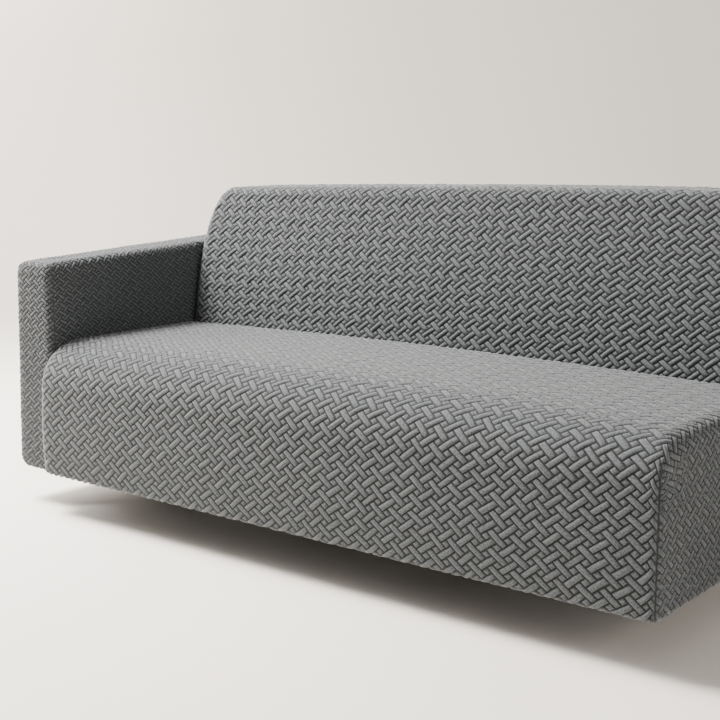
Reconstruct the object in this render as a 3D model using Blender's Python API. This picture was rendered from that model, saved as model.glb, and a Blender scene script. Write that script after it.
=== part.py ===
"""Stretch slipcover for a one-armed sofa, cut and sewn from seven pieces of cloth.

The cover is modelled as it sits when fitted: every piece is one closed sheet of cloth that
keeps the rounded form of the sofa under it, and the inside is hollow and open at the hem.
Dimensions are metres, first measured from the sofa's own corner (arm side, front, floor),
then moved so that the origin lies under the middle of the seat's top, where the sofa holds
the cover up.
"""

import math

import bmesh
import bpy
from mathutils import Vector

# Overall size of the fitted cover
LENGTH = 1.868
DEPTH = 0.820
HEM_HEIGHT = 0.105

# Cloth and sewing
SHEET = 0.0025
SEAM_GAP = 0.0003
SEAM_TAIL = 0.001
CREASE_GAP = 0.0015
HEM_ROUND = 0.012
HEM_TURN = 0.025
HEM_TURN_AT_CORNER = 0.002
HEM_TAPER = 0.050

# Seat: crowned top, big rounded front edge, straight front and side drops
SEAT_HEIGHT = 0.441
SEAT_CROWN = 0.013
SEAT_DEPTH = 0.553
FRONT_REACH = 0.165
FRONT_FALL = 0.130
CORNER_REACH = 0.110
CORNER_FALL = 0.100
CORNER_BLEND = 0.400
CORNER_FALL_EXTRA = 0.035
SIDE_REACH = 0.040
SIDE_FALL = 0.040
CORNER_ROUND = 0.015
# The corner's rounding grows as this share of the side edge's reach, up to its full size
CORNER_ROUND_GROWTH = 0.9
FRONT_BELLY = 0.004
LEFT_ROUND = 0.036
LEFT_WALL = 0.011
CREASE_ROLL = 0.006
CREASE_WALL = 0.003
CREASE_DIP = 0.006
CREASE_DIP_WIDTH = 0.015
CREASE_DIP_MIDDLE = 0.6
DART_TOP = 0.395

# Arm: low track arm that rises a little towards the back
ARM_WIDTH = 0.136
ARM_SETBACK = 0.049
ARM_HEIGHT = 0.642
ARM_RISE = 0.043
ARM_OUTER_ROUND = 0.035
ARM_INNER_ROUND = 0.018
ARM_EDGE_OUTER = 0.025
ARM_EDGE_TOP = 0.020
ARM_EDGE_INNER = 0.015
ARM_ROUND_AT_BACK = 0.003
ARM_ROUND_FADE = 0.080
ARM_REAR_STEP = 0.008
ARM_HEM_CLEAR = 0.021
# The arm widens towards its hem, and its cloth hangs a little lower at the front
ARM_SPLAY = 0.022
ARM_HEM_DROP = 0.012
ARM_DROP_TOP = 0.360
ARM_DROP_FADE = (0.200, 0.700)
# Stations of the arm's cloth behind the back's front face, as shares of the way to the rear
UNDER_BACK_SHARES = (0.04, 0.1, 0.4, 0.7, 1)

# Back: leans away from the seat, its top rises and is crowned along its length
BACK_HEIGHT = 0.8175
BACK_RISE = 0.026
BACK_CROWN = 0.0095
BACK_LEAN = 0.075
BACK_BULGE = 0.005
BACK_EDGE = 0.030
BACK_TUCK = 0.012
LEFT_CORNER_REACH = 0.108
LEFT_CORNER_FALL = 0.270
RIGHT_CORNER_REACH = 0.060
RIGHT_CORNER_FALL = 0.060
REAR_EDGE = 0.020
REAR_EDGE_AT_ARM = 0.004
REAR_EDGE_TAPER = 0.050

# Roundness of the padded edges: 2 is an ellipse, more is squarer
PADDING = 2.5

# Where the sofa holds the cover: under the middle of the seat's top
MOUNT_X = LENGTH / 2
MOUNT_Y = 0.300
MOUNT_Z = SEAT_HEIGHT + SEAT_CROWN - SHEET

CLOTH_GREY = (0.235, 0.235, 0.230, 1.0)
CLOTH_ROUGHNESS = 0.92

HALF_GAP = SEAM_GAP / 2
# A rolled edge ends in a short straight tail, and the next piece starts a gap behind it
PAST_EDGE = SEAM_TAIL + SEAM_GAP
QUARTER = math.pi / 2
# Points of neighbouring strips closer than this are one point
WELD_DISTANCE = 0.00002

# The arm's inner face and what stands against it are a seam's gap apart
ARM_FACE = ARM_WIDTH - HALF_GAP
BACK_LEFT = ARM_WIDTH + HALF_GAP


# ---------------------------------------------------------------- small helpers

def mix(first, last, share):
    return first + (last - first) * share


def eased(share):
    share = min(max(share, 0.0), 1.0)
    return share * share * (3 - 2 * share)


def steps(count):
    return [index / count for index in range(count + 1)]


def padded(angle):
    """How far out and how far up a padded edge has come at an angle from its side."""
    power = 2 / PADDING
    return max(math.cos(angle), 0.0) ** power, max(math.sin(angle), 0.0) ** power


def padded_rise(out):
    """Height share of a padded edge where it stands out by the share `out`."""
    return (1 - min(max(out, 0.0), 1.0) ** PADDING) ** (1 / PADDING)


def sag(distance, radius):
    """Drop of a round edge of this radius at a distance from its side plane."""
    if distance >= radius:
        return 0.0
    return radius - math.sqrt(max(radius ** 2 - (radius - distance) ** 2, 0.0))


def seat_height(x):
    along = (x - ARM_WIDTH) / (LENGTH - ARM_WIDTH)
    return SEAT_HEIGHT + SEAT_CROWN * 4 * along * (1 - along)


def front_reach(x):
    return mix(CORNER_REACH, FRONT_REACH, eased((LENGTH - x) / CORNER_BLEND))


def front_fall(x):
    return mix(CORNER_FALL, FRONT_FALL, eased((LENGTH - x) / CORNER_BLEND))


def arm_height(y):
    return ARM_HEIGHT + ARM_RISE * y


def back_height(x):
    along = (x - ARM_WIDTH) / (LENGTH - ARM_WIDTH)
    return BACK_HEIGHT + BACK_RISE * along + BACK_CROWN * 4 * along * (1 - along)


def back_face(x, z):
    """Depth at which the inside back's face stands at a height."""
    rise = min(max((z - SEAT_HEIGHT) / (back_height(x) - SEAT_HEIGHT), 0.0), 1.0)
    return SEAT_DEPTH + BACK_LEAN * rise - BACK_BULGE * math.sin(math.pi * rise)


def seat_edge_at_arm(y):
    """Height at which the seat's rolled edge ends against the arm."""
    wall = LEFT_ROUND + LEFT_WALL
    out = min(max((FRONT_REACH - y) / (FRONT_REACH - wall), 0.0), 1.0)
    height = SEAT_HEIGHT - FRONT_FALL * (1 - padded_rise(out))
    return height - (CREASE_ROLL + CREASE_WALL) * (1 - out)


# ---------------------------------------------------------------- sheets of cloth

class Sheet:
    """Collects the outer face of one piece of cloth, strip by strip."""

    def __init__(self):
        self.mesh = bmesh.new()

    def strips(self, lines):
        """Fill between neighbouring lines of points, as far as both reach."""
        made = [[self.mesh.verts.new(place(point)) for point in line] for line in lines]
        for line, after in zip(made, made[1:]):
            reach = min(len(line), len(after)) - 1
            for index in range(reach):
                self.mesh.faces.new((line[index], line[index + 1],
                                     after[index + 1], after[index]))

    def finish(self, name):
        """Weld the strips, face them outwards and give the cloth its thickness."""
        bmesh.ops.remove_doubles(self.mesh, verts=self.mesh.verts, dist=WELD_DISTANCE)
        bmesh.ops.dissolve_degenerate(self.mesh, edges=self.mesh.edges, dist=WELD_DISTANCE / 2)
        bmesh.ops.recalc_face_normals(self.mesh, faces=self.mesh.faces)
        facing = sum(face.normal.dot(face.calc_center_median() - INSIDE) * face.calc_area()
                     for face in self.mesh.faces)
        if facing < 0:
            bmesh.ops.reverse_faces(self.mesh, faces=self.mesh.faces)
        data = bpy.data.meshes.new(name)
        self.mesh.to_mesh(data)
        self.mesh.free()
        data.shade_smooth()
        piece = bpy.data.objects.new(name, data)
        bpy.context.scene.collection.objects.link(piece)
        thickness = piece.modifiers.new("cloth thickness", "SOLIDIFY")
        thickness.thickness = SHEET
        thickness.offset = -1
        thickness.use_even_offset = True
        thickness.use_quality_normals = True
        piece.data.materials.append(cloth_material(name))
        return piece


def splayed(point):
    """Widen the arm towards its hem and lower its hem at the front."""
    x, y, z = point
    if x >= ARM_WIDTH:
        return point
    down = (ARM_HEIGHT - z) / (ARM_HEIGHT - HEM_HEIGHT)
    out = ARM_SPLAY * min(max(down, 0.0), 1.0) * (1 - max(x, 0.0) / ARM_WIDTH)
    low = eased((ARM_DROP_TOP - z) / (ARM_DROP_TOP - HEM_HEIGHT))
    start, end = ARM_DROP_FADE
    return (x - out, y, z - ARM_HEM_DROP * low * eased((end - y) / (end - start)))


def place(point):
    """Move a point from the sofa's corner to the cover's own origin."""
    return Vector(splayed(point)) - Vector((MOUNT_X, MOUNT_Y, MOUNT_Z))


INSIDE = place((LENGTH / 2, DEPTH * 0.6, HEM_HEIGHT + 0.1))


def cloth_material(name):
    material = bpy.data.materials.new(name + " jacquard")
    material.use_nodes = True
    shader = material.node_tree.nodes["Principled BSDF"]
    shader.inputs["Base Color"].default_value = CLOTH_GREY
    shader.inputs["Roughness"].default_value = CLOTH_ROUGHNESS
    shader.inputs["Metallic"].default_value = 0.0
    return material


def hem(foot, inward, turn):
    """Points of a turned hem below the foot of a drop: a round edge, then the turn."""
    x, y = foot
    line = []
    for share in steps(3)[1:]:
        angle = QUARTER * share
        back = HEM_ROUND * (1 - math.cos(angle))
        line.append((x + inward[0] * back, y + inward[1] * back,
                     HEM_HEIGHT + HEM_ROUND * (1 - math.sin(angle))))
    back = HEM_ROUND + turn
    line.append((x + inward[0] * back, y + inward[1] * back, HEM_HEIGHT))
    return line


def hem_turn(to_end):
    """Width of the turned hem at a distance from the piece's end."""
    return mix(HEM_TURN_AT_CORNER, HEM_TURN, eased(to_end / HEM_TAPER))


def coons(left, right, bottom, top, lateness=1):
    """Fill four border lines with a grid, returned as rows from bottom to top.

    With more lateness the rows stay level for longer and take the top line's form late.
    """
    rows = []
    for row, (start, end) in enumerate(zip(left, right)):
        v = (row / (len(left) - 1)) ** lateness
        line = []
        for low, high in zip(bottom, top):
            u = (low[0] - bottom[0][0]) / (bottom[-1][0] - bottom[0][0])
            line.append(tuple(
                mix(start[k], end[k], u) + mix(low[k], high[k], v)
                - mix(mix(bottom[0][k], bottom[-1][k], u), mix(top[0][k], top[-1][k], u), v)
                for k in range(2)))
        rows.append(line)
    return rows


# ---------------------------------------------------------------- seat

def drop(foot, inward, top, fall, turn, belly=0.0):
    """Points of a straight drop from the end of its padded edge down to the hem."""
    x, y = foot
    line = []
    for share in steps(4)[1:]:
        out = belly * math.sin(math.pi * share)
        z = mix(top - fall, HEM_HEIGHT + HEM_ROUND, share)
        line.append((x - inward[0] * out, y - inward[1] * out, z))
    return line + hem(foot, inward, turn)


def edge_angles():
    """Angles down a padded edge, from its top to its side."""
    return [QUARTER * (1 - share) for share in steps(7)]


def front_rib(x, round_back, inward, roll, turn):
    """One line of cloth from the seat's top over the front edge to the hem."""
    top = seat_height(x) - roll
    reach, fall = front_reach(x), front_fall(x)
    line = []
    for angle in edge_angles():
        out, up = padded(angle)
        z = seat_height(x) - fall * (1 - up) - roll * (1 - out)
        line.append((x, mix(reach, round_back, out), z))
    belly = FRONT_BELLY * inward[1]
    return line + drop((x, round_back), inward, top + roll, fall, turn, belly)


def corner_ribs():
    """Lines over the seat's free front corner, in two halves parted by the dart seam."""
    pole_x = LENGTH - SIDE_REACH
    pole_y = front_reach(pole_x)
    top = seat_height(pole_x)
    corner_fall = SIDE_FALL + CORNER_FALL_EXTRA
    halves = ([], [])
    turns = [0.0, 0.25, 0.5, 0.5, 0.75, 1.0]
    for index, share in enumerate(turns):
        half = 0 if index < 3 else 1
        part = -1 if index == 2 else 1 if index == 3 else 0
        angle = QUARTER * share
        fall = mix(front_fall(pole_x), corner_fall, share)
        halves[half].append(corner_rib(pole_x, pole_y, top, angle, fall, part))
    for share in (1 / 3, 2 / 3):
        fall = mix(corner_fall, SIDE_FALL, share)
        line = []
        for edge in edge_angles():
            out, up = padded(edge)
            x = pole_x + SIDE_REACH * out
            start = pole_y * (1 - out) + corner_radius(out)
            line.append((x, mix(start, pole_y, share), top - fall * (1 - up)))
        foot = (LENGTH, mix(CORNER_ROUND, pole_y, share))
        halves[1].append(line + drop(foot, (-1, 0), top, fall, hem_turn(foot[1])))
    return halves


def corner_radius(out):
    return min(CORNER_ROUND, CORNER_ROUND_GROWTH * SIDE_REACH * out)


def corner_rib(pole_x, pole_y, top, angle, fall, part):
    """A line round the vertical corner; `part` draws it back from the dart's middle."""
    outward = (math.sin(angle), -math.cos(angle))
    aside = (math.cos(angle) * HALF_GAP * part, math.sin(angle) * HALF_GAP * part)
    line = []
    for edge in edge_angles():
        out, up = padded(edge)
        radius = corner_radius(out)
        z = top - fall * (1 - up)
        apart = 1 if z < DART_TOP else 0
        line.append((pole_x + SIDE_REACH * out - radius + outward[0] * radius + aside[0] * apart,
                     pole_y * (1 - out) + radius + outward[1] * radius + aside[1] * apart, z))
    foot = (LENGTH - CORNER_ROUND + outward[0] * CORNER_ROUND + aside[0],
            CORNER_ROUND + outward[1] * CORNER_ROUND + aside[1])
    inward = (-outward[0], -outward[1])
    return line + drop(foot, inward, top, fall, HEM_TURN_AT_CORNER)


def seat_rear(x):
    """Where the seat's cloth ends against the inside back."""
    return SEAT_DEPTH + sag(LENGTH - x, BACK_EDGE) - HALF_GAP


def crease_dip(y, rear):
    """The top dips where it is drawn into the crease."""
    return CREASE_DIP * min(max(1 - (rear - y) / CREASE_DIP_WIDTH, 0.0), 1.0) ** 2


def seat_rows(x):
    """Depth of each row of the seat's top behind the front edge."""
    reach, rear = front_reach(x), seat_rear(x)
    near = rear - CREASE_DIP_WIDTH
    last = [mix(near, rear, CREASE_DIP_MIDDLE), rear]
    return [mix(reach, near, share) for share in steps(6)] + last


def seat_panel():
    sheet = Sheet()
    stations = [(BACK_LEFT, LEFT_ROUND + LEFT_WALL, (1, 0), CREASE_ROLL + CREASE_WALL)]
    for share in steps(6):
        angle = QUARTER * share
        x = BACK_LEFT + LEFT_ROUND * (1 - math.cos(angle))
        inward = (math.cos(angle), math.sin(angle))
        roll = sag(x - BACK_LEFT, CREASE_ROLL)
        stations.append((x, LEFT_ROUND * (1 - math.sin(angle)), inward, roll))
    first, last = stations[-1][0], LENGTH - SIDE_REACH
    for share in steps(16)[1:]:
        stations.append((mix(first, last, share), 0.0, (0, 1), 0.0))

    # Front drop with its padded edge, then the free corner up to its dart
    ribs = []
    for x, round_back, inward, roll in stations:
        turn = hem_turn(min(x - first, LENGTH - CORNER_ROUND - x))
        ribs.append(front_rib(x, round_back, inward, roll, turn))
    front_half, side_half = corner_ribs()
    sheet.strips(ribs + front_half)

    # Top
    lines = []
    for x, _, _, roll in stations:
        height = seat_height(x) - roll
        lines.append([(x, y, height - crease_dip(y, seat_rear(x))) for y in seat_rows(x)])
    sheet.strips(lines)

    # Side drop, first under the seat's top and then on under the back's end
    top = seat_height(last)
    side = []
    for row in range(len(seat_rows(last))):
        line = []
        for edge in edge_angles():
            out, up = padded(edge)
            x = last + SIDE_REACH * out
            y = mix(seat_rows(last)[row], seat_rows(x)[row], out) if row else front_reach(last)
            dip = crease_dip(y, seat_rear(x)) * (1 - out)
            line.append((x, y, top - SIDE_FALL * (1 - up) - dip))
        foot = (LENGTH, line[-1][1])
        turn = hem_turn(min(foot[1], DEPTH - REAR_EDGE - foot[1]))
        side.append(line + drop(foot, (-1, 0), top, SIDE_FALL, turn))
    sheet.strips(side_half + side)

    flap = [side[-1][len(edge_angles()) - 1:]]
    start, end = flap[0][0][1], DEPTH - REAR_EDGE - PAST_EDGE
    for share in steps(4)[1:]:
        foot = (LENGTH, mix(start, end, share))
        turn = hem_turn(end - foot[1])
        line = drop(foot, (-1, 0), top, SIDE_FALL, turn)
        flap.append([(LENGTH, foot[1], top - SIDE_FALL)] + line)
    sheet.strips(flap)
    return sheet.finish("seat_panel")


# ---------------------------------------------------------------- back

def left_corner(angle):
    """Outline point and outward direction on the back's soft left top corner."""
    return outline_corner(angle, BACK_LEFT, 1, LEFT_CORNER_REACH, LEFT_CORNER_FALL)


def right_corner(angle):
    return outline_corner(angle, LENGTH, -1, RIGHT_CORNER_REACH, RIGHT_CORNER_FALL)


def outline_corner(angle, side, inwards, reach, fall):
    out, up = padded(angle)
    x = side + inwards * reach * (1 - out)
    z = back_height(side + inwards * reach) - fall * (1 - up)
    power = 2 - 2 / PADDING
    across = max(math.cos(angle), 0.0) ** power / reach
    upward = max(math.sin(angle), 0.0) ** power / fall
    size = math.hypot(across, upward)
    return (x, z), (-inwards * across / size, upward / size)


def back_outline(left_low, right_low, across_steps, corner_steps, side_steps):
    """Outline points with outward directions, as the back's left, top and right borders."""
    half = QUARTER / 2
    left_foot = back_height(BACK_LEFT + LEFT_CORNER_REACH) - LEFT_CORNER_FALL
    right_foot = back_height(LENGTH - RIGHT_CORNER_REACH) - RIGHT_CORNER_FALL
    left = [((BACK_LEFT, mix(left_low, left_foot, share)), (-1, 0))
            for share in steps(side_steps)[:-1]]
    left += [left_corner(half * share) for share in steps(corner_steps)]
    right = [((LENGTH, mix(right_low, right_foot, share)), (1, 0))
             for share in steps(side_steps)[:-1]]
    right += [right_corner(half * share) for share in steps(corner_steps)]
    top = [left_corner(half + half * share) for share in steps(corner_steps)]
    start, end = BACK_LEFT + LEFT_CORNER_REACH, LENGTH - RIGHT_CORNER_REACH
    for share in steps(across_steps)[1:-1]:
        x = mix(start, end, share)
        top.append(((x, back_height(x)), (0, 1)))
    top += [right_corner(2 * half - half * share) for share in steps(corner_steps)]
    return left, top, right


def inset(border, width):
    """Draw a border inwards by a width at each of its points."""
    return [(point[0] - outward[0] * width(point), point[1] - outward[1] * width(point))
            for point, outward in border]


def back_bottom(x):
    """Lower edge of the inside back, tucked a little below the seat's surface."""
    edge = LENGTH - SIDE_REACH
    rise = 1.0 if x < edge else padded_rise((x - edge) / SIDE_REACH)
    surface = seat_height(min(x, edge)) - SIDE_FALL * (1 - rise)
    tuck = BACK_TUCK * eased((LENGTH - x) / (2 * SIDE_REACH))
    return surface - tuck + HALF_GAP


def rear_edge_width(point):
    """Radius of the back's rear edge, drawn in where it meets the arm."""
    x, z = point
    if x > LENGTH / 2:
        return REAR_EDGE
    above = z - arm_height(DEPTH)
    return mix(REAR_EDGE_AT_ARM, REAR_EDGE, eased(above / REAR_EDGE_TAPER))


def inside_back_panel():
    sheet = Sheet()
    left_low = SEAT_HEIGHT - CREASE_ROLL - CREASE_WALL - BACK_TUCK
    right_low = back_bottom(LENGTH)
    left, top, right = back_outline(left_low, right_low, 17, 6, 6)
    arm_top = arm_height(arm_inner_rear(arm_height(SEAT_DEPTH))) + CREASE_GAP

    def edge(_):
        return BACK_EDGE

    left_line, top_line, right_line = inset(left, edge), inset(top, edge), inset(right, edge)
    first, last = left_line[0][0], right_line[0][0]
    bottom_line = [(mix(first, last, (point[0] - top_line[0][0])
                        / (top_line[-1][0] - top_line[0][0])), 0.0) for point in top_line]
    bottom_line = [(x, back_bottom(x)) for x, _ in bottom_line]
    left_line[0] = bottom_line[0]
    right_line[0] = bottom_line[-1]
    rows = coons(left_line, right_line, bottom_line, top_line)
    sheet.strips([[(x, back_face(x, z) + HALF_GAP, z) for x, z in row] for row in rows])

    def rib(border, foot, low, wall):
        """Cloth from the face over the padded edge and, with a wall, on to the rear."""
        (x, z), outward = border
        start = back_face(*foot) + HALF_GAP
        line = [(foot[0], start, foot[1])]
        for share in steps(5)[1:]:
            angle = QUARTER * share
            inwards = BACK_EDGE * (1 - math.sin(angle))
            height = z - outward[1] * inwards
            if low is not None:
                height = max(height, low(x - outward[0] * inwards))
            line.append((x - outward[0] * inwards,
                         start + BACK_EDGE * (1 - math.cos(angle)), height))
        start += BACK_EDGE + SEAM_TAIL
        line.append((x, start, line[-1][2]))
        if not wall:
            return line
        rear = rear_edge_width((x, z))
        for share in steps(4)[1:]:
            y = mix(start, DEPTH - rear, share)
            line.append((x, y, max(z, arm_height(y) + CREASE_GAP) if x < LENGTH / 2 else z))
        height = line[-1][2]
        for share in steps(4)[1:]:
            angle = QUARTER * share
            inwards = rear * (1 - math.cos(angle))
            line.append((x - outward[0] * inwards, DEPTH - rear * (1 - math.sin(angle)),
                         height - outward[1] * inwards))
        inwards = rear + SEAM_TAIL
        line.append((x - outward[0] * inwards, DEPTH, height - outward[1] * inwards))
        return line

    above_arm = [index for index, (point, _) in enumerate(left) if point[1] > arm_top][0]
    left[above_arm] = at_height(arm_top)
    left_ribs = []
    for index, (border, row) in enumerate(zip(left, rows)):
        low = back_bottom if index == 0 else None
        left_ribs.append(rib(border, row[0], low, index >= above_arm))
    upright = [index for index, (_, outward) in enumerate(right) if outward[0] == 1][-1]
    right_ribs = []
    for index, (border, row) in enumerate(zip(right, rows)):
        low = back_bottom if index == 0 else None
        right_ribs.append(rib(border, row[-1], low, index >= upright))
    sheet.strips(left_ribs)
    sheet.strips(right_ribs)
    sheet.strips([rib(border, foot, None, True) for border, foot in zip(top, rows[-1])])
    return sheet.finish("inside_back_panel")


def at_height(z):
    """Outline point of the left corner that lies at a height."""
    top = back_height(BACK_LEFT + LEFT_CORNER_REACH)
    up = 1 - (top - z) / LEFT_CORNER_FALL
    return left_corner(math.asin(max(up, 0.0) ** (PADDING / 2)))


def back_end_panel():
    """Flat end of the back above the side drop, closed at its top by the inside back."""
    sheet = Sheet()
    low = seat_height(LENGTH - SIDE_REACH) - SIDE_FALL + SEAM_GAP
    high = back_height(LENGTH - RIGHT_CORNER_REACH) - RIGHT_CORNER_FALL - SEAM_GAP
    lines = []
    for share in steps(6):
        z = mix(low, high, share)
        front = back_face(LENGTH, z) + HALF_GAP + BACK_EDGE + PAST_EDGE
        rear = DEPTH - REAR_EDGE - PAST_EDGE
        lines.append([(LENGTH, mix(front, rear, across), z) for across in steps(3)])
    sheet.strips(lines)
    return sheet.finish("back_end_panel")


def outside_back_panel():
    sheet = Sheet()
    low = HEM_HEIGHT + HEM_ROUND
    left, top, right = back_outline(low, low, 17, 6, 6)
    arm_top = arm_height(DEPTH) + SEAM_GAP

    def edge(point):
        return rear_edge_width(point) + PAST_EDGE

    above = [border for border in left if border[0][1] > arm_top]
    above.insert(0, at_height(arm_top))
    below = len(left) - len(above)
    left_line = [(BACK_LEFT, mix(low, arm_top - ARM_REAR_STEP, index / (below - 1)))
                 for index in range(below)]
    left_line += inset(above, edge)
    top_line = inset(top, edge)
    right_line = inset(right, edge)
    upright = [index for index, (_, outward) in enumerate(right) if outward[0] == 1][-1]
    right_line[upright] = (right_line[upright][0], right_line[upright][1] - PAST_EDGE)
    start, end = left_line[0][0], right_line[0][0]
    bottom_line = [(mix(start, end, (x - top_line[0][0]) / (top_line[-1][0] - top_line[0][0])), low)
                   for x, _ in top_line]
    rows = coons(left_line, right_line, bottom_line, top_line, lateness=5)
    sheet.strips([[(x, DEPTH, z) for x, z in row] for row in rows])
    drops = []
    for x, z in bottom_line:
        turn = hem_turn(end - x)
        drops.append([(x, DEPTH, z)] + hem((x, DEPTH), (0, -1), turn))
    sheet.strips(drops)

    # Round vertical edge on to the side, up to where the inside back comes over
    heights = [z for _, z in right_line[:upright + 1]]
    columns = []
    for share in steps(4):
        angle = QUARTER * share
        x = LENGTH - REAR_EDGE * (1 - math.sin(angle)) if share else right_line[0][0]
        y = DEPTH - REAR_EDGE * (1 - math.cos(angle))
        inward = (-math.sin(angle), -math.cos(angle))
        turned = hem((x, y), inward, HEM_TURN_AT_CORNER)
        columns.append([(x, y, z) for z in reversed(heights)] + turned)
    columns.append([(x, y - SEAM_TAIL, z) for x, y, z in columns[-1]])
    sheet.strips(columns)
    return sheet.finish("outside_back_panel")


# ---------------------------------------------------------------- arm

def arm_inner_rear(z):
    """Where the arm's inner side ends, at the back's round left edge."""
    return back_face(ARM_WIDTH, z) + BACK_EDGE


def arm_inner_round(y):
    """Radius of the arm's inner top edge, drawn tight where it runs on to the back."""
    to_back = arm_inner_rear(arm_height(SEAT_DEPTH)) - y
    return mix(ARM_ROUND_AT_BACK, ARM_INNER_ROUND, eased(to_back / ARM_ROUND_FADE))


def arm_inner_face(y, z):
    """Where the arm's inner side stands, brought up to the back's outline at its rear end."""
    at_back = at_height(z)[0][0] - CREASE_GAP
    return mix(at_back, ARM_FACE, eased((arm_inner_rear(z) - y) / ARM_ROUND_FADE))


def arm_section(height, inner, inner_face):
    """Section of the arm's cloth from its hem to the inner top edge.

    Each entry is a point across and up, with the radii of the front and the rear edge there.
    """
    outer = ARM_OUTER_ROUND
    line = []
    for share in steps(4):
        angle = QUARTER * share
        point = (outer * (1 - math.sin(angle)), HEM_HEIGHT + outer * (1 - math.cos(angle)))
        line.append((point, mix(HEM_ROUND, ARM_EDGE_OUTER, share),
                     mix(HEM_ROUND, REAR_EDGE, share)))
    for share in steps(4)[1:-1]:
        z = mix(HEM_HEIGHT + outer, height - outer, share)
        line.append(((0.0, z), ARM_EDGE_OUTER, REAR_EDGE))
    for share in steps(4):
        angle = QUARTER * share
        point = (outer * (1 - math.cos(angle)), height - outer * (1 - math.sin(angle)))
        line.append((point, mix(ARM_EDGE_OUTER, ARM_EDGE_TOP, share), REAR_EDGE))
    for share in steps(3)[1:]:
        point = (mix(outer, inner_face - inner, share), height)
        line.append((point, ARM_EDGE_TOP, mix(REAR_EDGE, REAR_EDGE_AT_ARM, share)))
    return line


def arm_inner(top_end, share):
    """Round inner top edge and inner side, down to the seat's rolled edge."""
    start = ARM_SETBACK + ARM_EDGE_INNER + PAST_EDGE
    inner = arm_inner_round(top_end[1])
    line = [top_end]
    for step in steps(4)[1:]:
        angle = QUARTER * step
        y = mix(top_end[1], mix(start, arm_inner_rear(top_end[2]), share), step)
        face = arm_inner_face(y, arm_height(y))
        line.append((face - inner * (1 - math.sin(angle)), y,
                     arm_height(y) - inner * (1 - math.cos(angle))))
    foot = seat_edge_at_arm(mix(start, SEAT_DEPTH, share)) - CREASE_WALL
    round_end = line[-1][2]
    for step in steps(5)[1:]:
        z = mix(round_end, foot, step)
        y = mix(start, arm_inner_rear(z), share)
        line.append((arm_inner_face(y, z), y, z))
    return line


def arm_wrap_panel():
    """Outer side, top and inner side of the arm in one cloth."""
    sheet = Sheet()
    back_stop = arm_inner_rear(arm_height(SEAT_DEPTH))
    stations = [(share, 0) for share in steps(10)]
    stations += [(1, beyond) for beyond in UNDER_BACK_SHARES]
    outer_lines, inner_lines, under_back = [], [], []
    for share, beyond in stations:
        level = mix(ARM_SETBACK + ARM_EDGE_TOP, back_stop, share)
        inner = arm_inner_round(level)
        face = arm_inner_face(level, arm_height(level))
        line = []
        for index, (_, front, rear) in enumerate(arm_section(ARM_HEIGHT, inner, face)):
            start = ARM_SETBACK + front + PAST_EDGE
            y = mix(mix(start, back_stop, share), DEPTH - rear - PAST_EDGE, beyond)
            x, z = arm_section(arm_height(y), inner, face)[index][0]
            line.append((x, y, z))
        foot = line[0]
        to_end = min(foot[1] - ARM_SETBACK - HEM_ROUND, DEPTH - HEM_ROUND - foot[1])
        outer_lines.append([(foot[0] + hem_turn(to_end), foot[1], HEM_HEIGHT)] + line)
        if beyond == 0:
            inner_lines.append(arm_inner(line[-1], share))
        if share == 1:
            x, y, z = line[-1]
            reach = face + REAR_EDGE_AT_ARM * eased(beyond / UNDER_BACK_SHARES[1])
            under_back.append([(x, y, z), (reach, y, z)])
    sheet.strips(outer_lines)
    sheet.strips(inner_lines)
    sheet.strips(under_back)
    return sheet.finish("arm_wrap_panel")


def plate_corner(centre, radius, start, first, last, shares):
    """Round corner of an arm end: outline points, outward directions and edge radii."""
    points = []
    for share in shares:
        angle = start + QUARTER * share
        outward = (math.cos(angle), math.sin(angle))
        point = (centre[0] + radius * outward[0], centre[1] + radius * outward[1])
        points.append((point, outward, mix(first, last, share)))
    return points


def plate_side(start, end, outward, first, last, shares):
    """Straight part of an arm end's outline, with its edge radius."""
    return [((mix(start[0], end[0], share), mix(start[1], end[1], share)), outward,
             mix(first, last, share)) for share in shares]


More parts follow.
